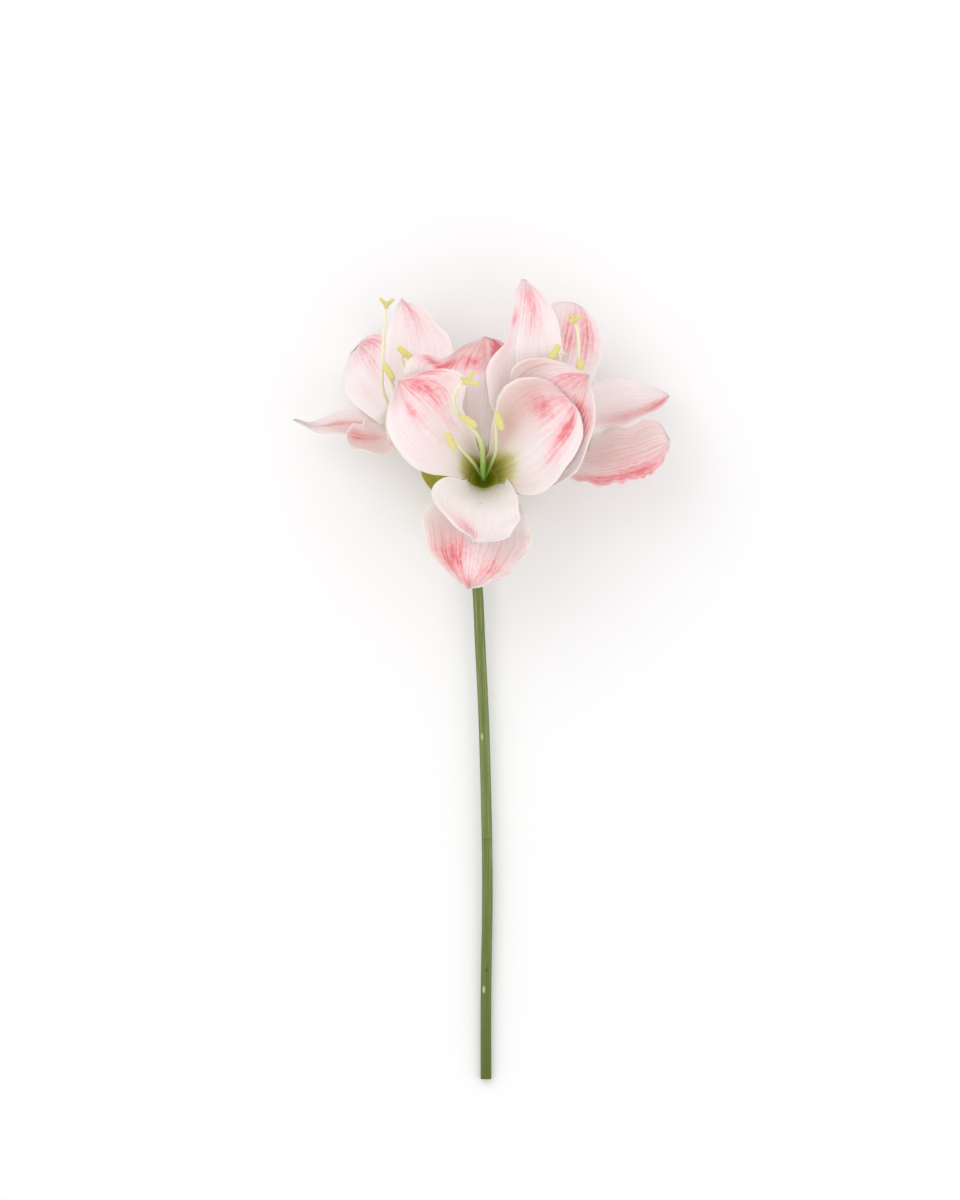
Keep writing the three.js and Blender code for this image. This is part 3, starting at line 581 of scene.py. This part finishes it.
# The tube under the tepals, as radius and height from its ring down. Inside it is deep and green, and
# on the side of the lowest tepals the green turns to cream a few millimetres from the axis
throat = {"profile": [(0, -28), (4.4, -28), (5, -22), (7.2, -14), (10.6, -6), (12.8, -1.4), (12.4, -1),
                      (9.4, -5.6), (6, -13.4), (3.8, -17.6), (0, -18)], "steps": 48, "firstInner": 6,
          "length": 28, "rimShade": 0.8, "lowShade": 0.6, "greenTo": 4, "creamFrom": 10}


# Throat tissue: smooth moist flesh, olive inside, pale green outside
def throatMaterial():
    material, tree, shader = newMaterial("throatTissue", Roughness=0.5, Subsurface_Weight=0.1,
                                         Subsurface_Scale=0.002)
    value = {key: addNode(tree, "Attribute", {}, attribute_name=key).outputs["Fac"]
             for key in ("inner", "rise")}
    inside = addNode(tree, "ValToRGB", {"Fac": value["rise"]}, stops=[
        (0.28, colour("86900c")), (1.0, colour("ebe0bc")), (0.6, colour("9c9a20")),
        (0.8, colour("aba54c"))])
    outside = addNode(tree, "ValToRGB", {"Fac": value["rise"]}, stops=[
        (0.0, colour("7f9440")), (0.8, colour("e6dfc0")), (0.4, colour("b4bb78"))])
    both = addNode(tree, "Mix", {"Factor": value["inner"], "A": outside, "B": inside}, data_type="RGBA")
    tree.links.new(both.outputs[2], shader.inputs["Base Color"])
    return material


def throatPiece(bloom, material):
    axis, ring, _ = bloomFrame(bloom)
    mesh = bmesh.new()
    layers = floatLayers(mesh, "inner", "rise")
    chain = [mesh.verts.new((radius, 0, rise)) for radius, rise in throat["profile"]]
    for number, vert in enumerate(chain):
        vert[layers["inner"]] = 1 if number >= throat["firstInner"] else 0
    edges = [mesh.edges.new(pair) for pair in zip(chain, chain[1:])]
    bmesh.ops.spin(mesh, geom=chain + edges, cent=(0, 0, 0), axis=(0, 0, 1), angle=2 * math.pi,
                   steps=throat["steps"], use_merge=True, use_duplicate=False)
    bmesh.ops.remove_doubles(mesh, verts=mesh.verts, dist=0.001)
    bmesh.ops.recalc_face_normals(mesh, faces=mesh.faces)
    for vert in mesh.verts:
        below = smooth(throat["greenTo"], throat["creamFrom"], -vert.co.y)
        height = 1 + vert.co.z / throat["length"]
        vert[layers["rise"]] = throat["rimShade"] * height + throat["lowShade"] * below
    stand = Vector((0, 0, 1)).rotation_difference(axis).to_matrix().to_4x4()
    bmesh.ops.transform(mesh, matrix=toRow @ Matrix.Translation(ring) @ stand, verts=mesh.verts)
    name = bloom["name"]
    piece = addPiece(f"throat_{name}", mesh, material, [f"perianth_{name}"])
    finer = piece.modifiers.new("finer", "SUBSURF")
    finer.levels = 1
    finer.render_levels = 1
    return piece


# A round strand along a line, closed at both ends by a dome or a flat face, whose radius may change
# along and around it. A pale strand starts further up its colours
def addStrand(mesh, line, length, radiusAt, sides, steps, layers, flatStart=False, flatEnd=False, pale=0):
    rows = []
    capRows = 5
    flatRim = 0.05
    for k in range(capRows):
        rise = math.pi / 2 * k / capRows
        radius = radiusAt(0, 0)
        rows.append((0 if flatStart else radius / length * (1 - math.cos(rise)),
                     k / capRows if flatStart else math.sin(rise)))
    startShare = radiusAt(0, 0) / length * (flatRim if flatStart else 1)
    endShare = 1 - radiusAt(1, 0) / length * (flatRim if flatEnd else 1)
    for k in range(steps + 1):
        rows.append((startShare + (endShare - startShare) * k / steps, 1))
    for k in range(capRows - 1, -1, -1):
        rise = math.pi / 2 * k / capRows
        radius = radiusAt(1, 0)
        rows.append((1 if flatEnd else 1 - radius / length * (1 - math.cos(rise)),
                     k / capRows if flatEnd else math.sin(rise)))
    count = len(rows) - 1
    made = bmesh.ops.create_grid(mesh, x_segments=sides, y_segments=count, size=0.5)
    frames = []
    first = None
    for share, _ in rows:
        tangent = (line(min(share + 0.005, 1)) - line(max(share - 0.005, 0))).normalized()
        if first is None:
            first = tangent.orthogonal().normalized()
            upright = Vector((0, 0, 1))
            if abs(tangent.z) < 0.9:
                first = (upright - tangent * tangent.z).normalized()
        first = (first - tangent * first.dot(tangent)).normalized()
        frames.append((line(share), first.copy(), tangent.cross(first)))
    for vert in made["verts"]:
        number = round((vert.co.y + 0.5) * count)
        angle = 2 * math.pi * (vert.co.x + 0.5)
        share, scale = rows[number]
        middle, one, two = frames[number]
        radius = radiusAt(share, angle) * scale
        place = toRow @ (middle + (one * math.cos(angle) + two * math.sin(angle)) * radius)
        place.z = max(place.z, 0)
        vert.co = place
        vert[layers["lengthwise"]] = pale + (1 - pale) * share
        vert[layers["roundX"]] = math.cos(angle)
        vert[layers["roundY"]] = math.sin(angle)


def strandMesh():
    mesh = bmesh.new()
    return mesh, floatLayers(mesh, "lengthwise", "roundX", "roundY", "mark")


def closeStrands(mesh):
    bmesh.ops.remove_doubles(mesh, verts=mesh.verts, dist=2e-6)
    bmesh.ops.recalc_face_normals(mesh, faces=mesh.faces)


# Filament tissue: smooth, waxy and slightly see-through, green at the foot and cream above, with a
# grain of up to 0.1 mm, as fine as its cells
def filamentMaterial():
    material, tree, shader = newMaterial("filamentTissue", Roughness=0.42, Subsurface_Weight=0.15,
                                         Subsurface_Scale=0.0015)
    along = addNode(tree, "Attribute", {}, attribute_name="lengthwise").outputs["Fac"]
    tint = addNode(tree, "ValToRGB", {"Fac": along}, stops=[
        (0.0, colour("5f9220")), (1.0, colour("f3efcf")), (0.3, colour("86b046")),
        (0.55, colour("d3dc9c"))])
    grain = addNode(tree, "TexNoise", {"Scale": 900.0, "Detail": 2.0})
    relief = addNode(tree, "Bump", {"Strength": 0.2, "Distance": 0.0002, "Height": grain})
    tree.links.new(tint.outputs["Color"], shader.inputs["Base Color"])
    tree.links.new(relief.outputs["Normal"], shader.inputs["Normal"])
    return material


# Pollen: a dry, dusty coat, matte and even. Its grains are under 0.01 mm wide, finer than real ones, so
# they only soften the light
def pollenMaterial():
    material, tree, shader = newMaterial("pollen", Roughness=0.9, Sheen_Weight=0.3)
    grains = addNode(tree, "TexVoronoi", {"Scale": 2600.0})
    cloud = addNode(tree, "TexNoise", {"Scale": 500.0, "Detail": 3.0})
    tint = addNode(tree, "ValToRGB", {"Fac": cloud.outputs["Fac"]}, stops=[
        (0.3, colour("ead97a")), (0.7, colour("f7f0a6"))])
    relief = addNode(tree, "Bump", {"Strength": 0.6, "Distance": 0.0003,
                                    "Height": grains.outputs["Distance"]})
    tree.links.new(tint.outputs["Color"], shader.inputs["Base Color"])
    tree.links.new(relief.outputs["Normal"], shader.inputs["Normal"])
    return material


# Style, filaments, anthers and stigma. The seat is the small gap to what carries a piece, the roots
# rise straight from the throat's floor, the neck is the straight end of a filament under its anther,
# and the stub joins the stigma's lobes below their hub
stamen = {"styleRadius": 2.1, "filamentRadius": 1.6, "antherRadius": 3.1, "antherLength": 16.5,
          "lobeRadius": 1.7, "seat": 0.3, "throatDepth": 18, "rootFrom": 0.2, "rootTo": 6, "neck": 3,
          "stub": 1.5, "groove": 0.16, "grooveWidth": 0.3, "lumps": 0.05}


def antherSeat(spec):
    at = Vector(spec["at"])
    direction = Vector(spec["along"]).normalized()
    back = Vector(spec["line"][-1]) - at
    back = (back - direction * back.dot(direction)).normalized()
    return at, direction, back


def stamenPieces(bloom, filament, pollen):
    axis, _, place = bloomFrame(bloom)
    name = bloom["name"]
    floor = place(0, 0, -stamen["throatDepth"] + stamen["seat"])
    root = [floor + axis * stamen["rootFrom"], floor + axis * stamen["rootTo"]]
    tip = Vector(bloom["stigma"]["at"])
    before = (Vector(bloom["style"][-1]) - tip).normalized()
    styleTop = tip + before * (stamen["stub"] * stamen["lobeRadius"] + stamen["seat"])
    mesh, layers = strandMesh()
    line, length = route(root + bloom["style"] + [styleTop])
    taper = stamen["styleRadius"] * bloom["girth"]
    addStrand(mesh, line, length, lambda share, angle: taper * (1.05 - 0.2 * share), 14, 90, layers,
              pale=bloom["pale"])
    for spec in bloom["stamens"]:
        at, _, back = antherSeat(spec)
        end = at + back * (stamen["antherRadius"] + stamen["seat"])
        line, length = route(root + spec["line"] + [end + back * stamen["neck"], end])
        slim = stamen["filamentRadius"]
        addStrand(mesh, line, length, lambda share, angle: slim * (1.1 - 0.35 * share), 12, 70, layers,
                  pale=bloom["pale"])
    closeStrands(mesh)
    addPiece(f"stamens_{name}", mesh, filament, [f"style_and_filaments_{name}"])
    for number, spec in enumerate(bloom["stamens"], 1):
        addAnther(f"pollen_{name}_{number}", spec, pollen, f"anther_{name}_{number}", number)
    addStigma(bloom, pollen)


# An anther is a plump pod with a groove along each side, slightly bowed
def addAnther(name, spec, material, node, seed):
    at, direction, back = antherSeat(spec)
    half = direction * stamen["antherLength"] / 2
    line, length = route([at - half, at - half * 0.5 - back * 0.3, at + half * 0.5 - back * 0.3, at + half])
    mesh, layers = strandMesh()

    def radiusAt(share, angle):
        plump = stamen["antherRadius"] * (0.8 + 0.2 * math.sin(math.pi * share))
        groove = stamen["groove"] * math.exp(-(math.sin(angle) / stamen["grooveWidth"]) ** 2)
        lump = noise.noise(Vector((share * 9, math.cos(angle) * 2, math.sin(angle) * 2 + seed)))
        return plump * (1 - groove + stamen["lumps"] * lump)

    addStrand(mesh, line, length, radiusAt, 24, 40, layers)
    closeStrands(mesh)
    addPiece(name, mesh, material, [node])


# Three lobes spread and curl from the hub at the style's tip
def addStigma(bloom, material):
    hub = Vector(bloom["stigma"]["at"])
    centre = sum((Vector(lobe) for lobe in bloom["stigma"]["lobes"]), Vector()) / 3
    mesh, layers = strandMesh()
    radius = stamen["lobeRadius"]
    stem = hub + (Vector(bloom["style"][-1]) - hub).normalized() * stamen["stub"] * radius
    for lobe in bloom["stigma"]["lobes"]:
        tip = Vector(lobe)
        bow = (centre - hub).normalized() * 0.8
        line, length = route([stem, hub, hub.lerp(tip, 0.5) + bow, tip])
        addStrand(mesh, line, length, lambda share, angle: radius * (1.15 - 0.2 * share), 14, 16, layers)
    closeStrands(mesh)
    name = bloom["name"]
    addPiece(f"stigma_lobes_{name}", mesh, material, [f"stigma_{name}"])


# Stalk tissue: smooth waxy skin over fine lengthwise fibres, satin in light. On a scape 9 mm thick
# the streaks are 0.7 mm wide and 50 mm long, and the fibres 0.25 mm wide
def stalkMaterial(name, light, middle, dark, seamShare=None):
    material, tree, shader = newMaterial(name, Roughness=0.55, Subsurface_Weight=0.06,
                                         Subsurface_Scale=0.0015, Specular_IOR_Level=0.3)
    value = {key: addNode(tree, "Attribute", {}, attribute_name=key).outputs["Fac"]
             for key in ("lengthwise", "roundX", "roundY", "mark")}
    place = addNode(tree, "CombineXYZ", {"X": value["roundX"], "Y": value["roundY"],
                                         "Z": value["lengthwise"]})
    stretch = addNode(tree, "VectorMath", {0: place, 1: (6.5, 6.5, 9)}, operation="MULTIPLY")
    fibre = addNode(tree, "VectorMath", {0: place, 1: (19, 19, 14)}, operation="MULTIPLY")
    streaks = addNode(tree, "TexNoise", {"Vector": stretch, "Scale": 1.0, "Detail": 3.0})
    fibres = addNode(tree, "TexNoise", {"Vector": fibre, "Scale": 1.0, "Detail": 2.0})
    both = addNode(tree, "Math", {0: streaks.outputs["Fac"], 1: fibres.outputs["Fac"]}, operation="ADD")
    tint = addNode(tree, "ValToRGB", {"Fac": addNode(tree, "MapRange", {
        "Value": both, "From Min": 0.6, "From Max": 1.4})}, stops=[
        (0.15, colour(dark)), (0.85, colour(light)), (0.5, colour(middle))])
    # An olive streak runs along the side seen from above, the flanks are duller with painted shade, the foot
    # is darker
    streak = addNode(tree, "MapRange", {"Value": value["roundX"], "From Min": 0.86, "From Max": 1.0,
                                        "To Min": 0.0, "To Max": 0.5})
    broken = addNode(tree, "MapRange", {"Value": streaks.outputs["Fac"], "From Min": 0.35, "From Max": 0.6})
    streak = addNode(tree, "Math", {0: streak, 1: broken}, operation="MULTIPLY")
    result = addNode(tree, "Mix", {"Factor": streak, "A": tint, "B": colour("5a6b0e")}, data_type="RGBA")
    # Painted shade: the round stalk darkened towards its flanks, where light falls off
    side = addNode(tree, "Math", {0: value["roundY"]}, operation="ABSOLUTE")
    paintedFlankShade = addNode(tree, "MapRange", {"Value": side, "From Min": 0.72, "From Max": 1.0, "To Min": 0.0,
                                       "To Max": 0.7})
    result = addNode(tree, "Mix", {"Factor": paintedFlankShade, "A": result, "B": colour("66714a")}, data_type="RGBA")
    foot = addNode(tree, "MapRange", {"Value": value["lengthwise"], "From Min": 0.0, "From Max": 0.5,
                                      "To Min": 0.7, "To Max": 0.0})
    result = addNode(tree, "Mix", {"Factor": foot, "A": result, "B": colour("4f5c06")}, data_type="RGBA")
    pale = addNode(tree, "MapRange", {"Value": value["mark"], "From Min": 0.2, "From Max": 0.8})
    result = addNode(tree, "Mix", {"Factor": pale, "A": result, "B": colour("b7c27e")}, data_type="RGBA")
    deep = addNode(tree, "MapRange", {"Value": value["mark"], "From Min": -0.2, "From Max": -0.8})
    result = addNode(tree, "Mix", {"Factor": deep, "A": result, "B": colour("36400c")}, data_type="RGBA")
    result = result.outputs[2]
    if seamShare:
        away = addNode(tree, "Math", {0: value["lengthwise"], 1: seamShare}, operation="SUBTRACT")
        near = addNode(tree, "MapRange", {"Value": addNode(tree, "Math", {0: away}, operation="ABSOLUTE"),
                                          "From Min": 0.0006, "From Max": 0.0016, "To Min": 0.45,
                                          "To Max": 0.0})
        result = addNode(tree, "Mix", {"Factor": near, "A": result, "B": colour("3f4c1c")},
                         data_type="RGBA").outputs[2]
    tree.links.new(result, shader.inputs["Base Color"])
    relief = addNode(tree, "Bump", {"Strength": 0.5, "Distance": 0.0004, "Height": both})
    tree.links.new(relief.outputs["Normal"], shader.inputs["Normal"])
    return material


# The scape from its cut end to the umbel, with a pinched seam across it and shallow ribs. Its small
# scars are distance from the cut end, sideways place, half length, half width, and above 0 where the
# scar is pale or below 0 where it is dark
umbel = Vector((-9.5, -36, 0))
scape = {"line": [(1.7, scapeEnd, 0), (1.7, -444, 0), (2.9, -340, 0), (0.3, -220, 0), (-3.4, -138, 0),
                  (-5.5, -94, 0), (-9.5, -56, 0), (-9.5, -46, 0), umbel],
         "sides": 56, "steps": 420, "seamY": -308, "seamDepth": 0.03, "seamWidth": 0.5,
         "ribs": 13, "ribDepth": 0.012, "unevenness": 0.01,
         "scars": [(292, -2, 3.2, 1.1, 1), (76.5, -1.9, 3.4, 1.3, 1), (93, 0.1, 1.6, 0.7, -1)]}
# The swollen top that carries the umbel, and how far below it the swelling is full and starts
receptacle = {"radius": 6.8, "full": 8, "start": 16}


def scapePiece():
    line, length = route(scape["line"])
    seamShare = (scape["seamY"] - scapeEnd) / length
    material = stalkMaterial("stalkSkin", "a0ab7c", "7a884a", "5a6728", seamShare)
    mesh, layers = strandMesh()

    def radiusAt(share, angle):
        left = (1 - share) * length
        swell = smooth(receptacle["start"], receptacle["full"], left)
        radius = scapeRadius + (receptacle["radius"] - scapeRadius) * swell
        uneven = noise.noise(Vector((math.cos(angle) * 3, math.sin(angle) * 3, share * 8)))
        ribs = scape["ribDepth"] * math.cos(scape["ribs"] * angle) + scape["unevenness"] * uneven
        pinch = math.exp(-((share - seamShare) * length / scape["seamWidth"]) ** 2)
        return radius * (1 + ribs * (1 - swell) - scape["seamDepth"] * pinch)

    addStrand(mesh, line, length, radiusAt, scape["sides"], scape["steps"], layers, flatStart=True,
              flatEnd=True)
    for vert in mesh.verts:
        onTop = vert[layers["roundX"]] > 0
        for place, sideways, scarLength, scarWidth, strength in scape["scars"]:
            away = ((vert[layers["lengthwise"]] * length - place) / scarLength) ** 2
            away += ((vert[layers["roundY"]] * scapeRadius - sideways) / scarWidth) ** 2
            if onTop and away < 4:
                vert[layers["mark"]] += strength * math.exp(-away * away)
    closeStrands(mesh)
    addPiece("scape_skin", mesh, material, ["scape"])
    return material


# The stalk of a bloom rises from its place round the umbel and swells into a three-lobed ovary, whose
# places are distances from the tube above it
pedicel = {"radius": 2.4, "spread": 3.6, "ovaryLength": 16, "ovaryFrom": 17, "ovaryFull": 9,
           "ovaryNeck": 6, "ovaryGrowth": 2.9, "lobes": 3, "lobeDepth": 0.05}


def pedicelPiece(bloom, material):
    axis, _, place = bloomFrame(bloom)
    shape = bloom["pedicel"]
    angle = math.radians(shape["angle"])
    spread = pedicel["spread"]
    start = umbel + Vector((spread * math.cos(angle), stamen["seat"], spread * math.sin(angle)))
    ovaryTop = place(0, 0, -throat["length"] - stamen["seat"])
    ovaryBase = ovaryTop - axis * pedicel["ovaryLength"]
    bend = geometry.interpolate_bezier(
        start, start + Vector((0, shape["rise"], 0)), ovaryBase - axis * shape["arrive"], ovaryBase, 12)
    line, length = route(list(bend) + [ovaryBase.lerp(ovaryTop, 0.5), ovaryTop])
    mesh, layers = strandMesh()

    def radiusAt(share, turn):
        left = (1 - share) * length
        swell = smooth(pedicel["ovaryFrom"], pedicel["ovaryFull"], left)
        swell *= 1 - 0.25 * smooth(pedicel["ovaryNeck"], 0, left)
        lobes = pedicel["lobeDepth"] * swell * math.cos(pedicel["lobes"] * turn)
        return (pedicel["radius"] + pedicel["ovaryGrowth"] * swell) * (1 + lobes)

    addStrand(mesh, line, length, radiusAt, 30, 90, layers, flatStart=True, flatEnd=True)
    closeStrands(mesh)
    name = bloom["name"]
    addPiece(f"pedicel_{name}", mesh, material, [f"pedicel_and_ovary_{name}"])


# The two leaves under the umbel: they start at its sides, 8 mm below its top
bractBlade = {"claw": 7, "cupBase": 1, "foot": 8, "thickness": 0.8, "rows": 48, "columns": 24,
              "wide": (12, 12), "peak": 0.5, "blunt": 0.8, "cup": (0.5, 0.5)}
bracts = [
    {"name": "spathe_bract_left", "side": -1, "rib": [(-28, -18, 4), (-42, 0, 8), (-54, 16, 10)],
     "twist": (-36, -116), "wave": (0.5, 2, 0)},
    {"name": "spathe_bract_right", "side": 1, "rib": [(10, -22, -5), (24, -4, -8), (37, 12, -9)],
     "twist": (36, 116), "wave": (0.5, 2, 0.5)},
]


# Bract paper: a drying leaf, matte, with veins about 0.5 mm apart
def bractMaterial():
    material, tree, shader = newMaterial("bractPaper", Roughness=0.75, Sheen_Weight=0.1)
    across = addNode(tree, "Attribute", {}, attribute_name="across").outputs["Fac"]
    along = addNode(tree, "Attribute", {}, attribute_name="lengthwise").outputs["Fac"]
    place = addNode(tree, "CombineXYZ", {"X": across, "Y": along})
    stretched = addNode(tree, "VectorMath", {0: place, 1: (22, 3, 1)}, operation="MULTIPLY")
    speckled = addNode(tree, "VectorMath", {0: place, 1: (40, 110, 1)}, operation="MULTIPLY")
    veins = addNode(tree, "TexNoise", {"Vector": stretched, "Scale": 1.0, "Detail": 3.0})
    speckle = addNode(tree, "TexNoise", {"Vector": speckled, "Scale": 1.0, "Detail": 1.0})
    both = addNode(tree, "Math", {0: veins.outputs["Fac"], 1: speckle.outputs["Fac"]}, operation="ADD")
    tint = addNode(tree, "ValToRGB", {"Fac": addNode(tree, "MapRange", {
        "Value": both, "From Min": 0.7, "From Max": 1.3})}, stops=[
        (0.1, colour("8c901e")), (0.9, colour("cfc766")), (0.5, colour("adac3a"))])
    tree.links.new(tint.outputs["Color"], shader.inputs["Base Color"])
    relief = addNode(tree, "Bump", {"Strength": 0.5, "Distance": 0.0004, "Height": both})
    tree.links.new(relief.outputs["Normal"], shader.inputs["Normal"])
    return material


def bractPieces():
    material = bractMaterial()
    hug = receptacle["radius"] + stamen["seat"] + bractBlade["thickness"]
    for spec in bracts:
        side = spec["side"]
        foot = umbel + Vector((side * hug, -bractBlade["foot"], 0))
        top = umbel + Vector((side * (hug + stamen["seat"]), 0, 0))
        blade = {
            **plainBlade,
            **bractBlade,
            **spec,
            "stations": [foot, top] + spec["rib"],
            "sideways": lambda point: Vector((0, 0, side)),
        }
        bladePiece(f"bract_{'left' if side < 0 else 'right'}", [blade], material,
                   [spec["name"]], bractBlade["rows"], bractBlade["columns"], bractBlade["thickness"])


skin = scapePiece()
bractPieces()
print("stage: scape and bracts")

frontTissue = petalMaterial("petalTissueWarm", "f8f0ef")
sideTissue = petalMaterial("petalTissueCool", "fdf4f5")
flesh = throatMaterial()
filament = filamentMaterial()
pollen = pollenMaterial()
for bloom in blooms:
    pedicelPiece(bloom, skin)
    tepalPiece(bloom, frontTissue if bloom["name"] == "front" else sideTissue)
    throatPiece(bloom, flesh)
    stamenPieces(bloom, filament, pollen)
    print("stage: bloom", bloom["name"])


# Floor: matt white board
def addFloor():
    material, _, shader = newMaterial("whiteBoard", Roughness=0.85)
    shader.inputs["Base Color"].default_value = colour("fbfbfb")
    mesh = bmesh.new()
    bmesh.ops.create_grid(mesh, x_segments=1, y_segments=1, size=15)
    data = bpy.data.meshes.new("floor")
    mesh.to_mesh(data)
    mesh.free()
    data.materials.append(material)
    floor = bpy.data.objects.new("floor", data)
    bpy.context.scene.collection.objects.link(floor)


# Soft studio light from all round, a little stronger from the upper left, aimed at the blooms
lightTarget = Vector((0, 0.12, 0.05))


def addLight(name, place, size, power):
    light = bpy.data.lights.new(name, "AREA")
    light.size = size
    light.energy = power
    lamp = bpy.data.objects.new(name, light)
    lamp.location = place
    lamp.rotation_euler = (lightTarget - Vector(place)).to_track_quat("-Z", "Y").to_euler()
    bpy.context.scene.collection.objects.link(lamp)


addFloor()
addLight("key", (-0.9, 0.9, 1.9), 1.6, 9)
addLight("fill", (1.2, -0.6, 1.7), 1.8, 4)
world = bpy.data.worlds.new("studio")
world.use_nodes = True
world.node_tree.nodes["Background"].inputs["Color"].default_value = (1, 1, 1, 1)
world.node_tree.nodes["Background"].inputs["Strength"].default_value = 0.88
bpy.context.scene.world = world
bpy.context.scene.view_settings.view_transform = "Standard"
print("stage: floor and light")
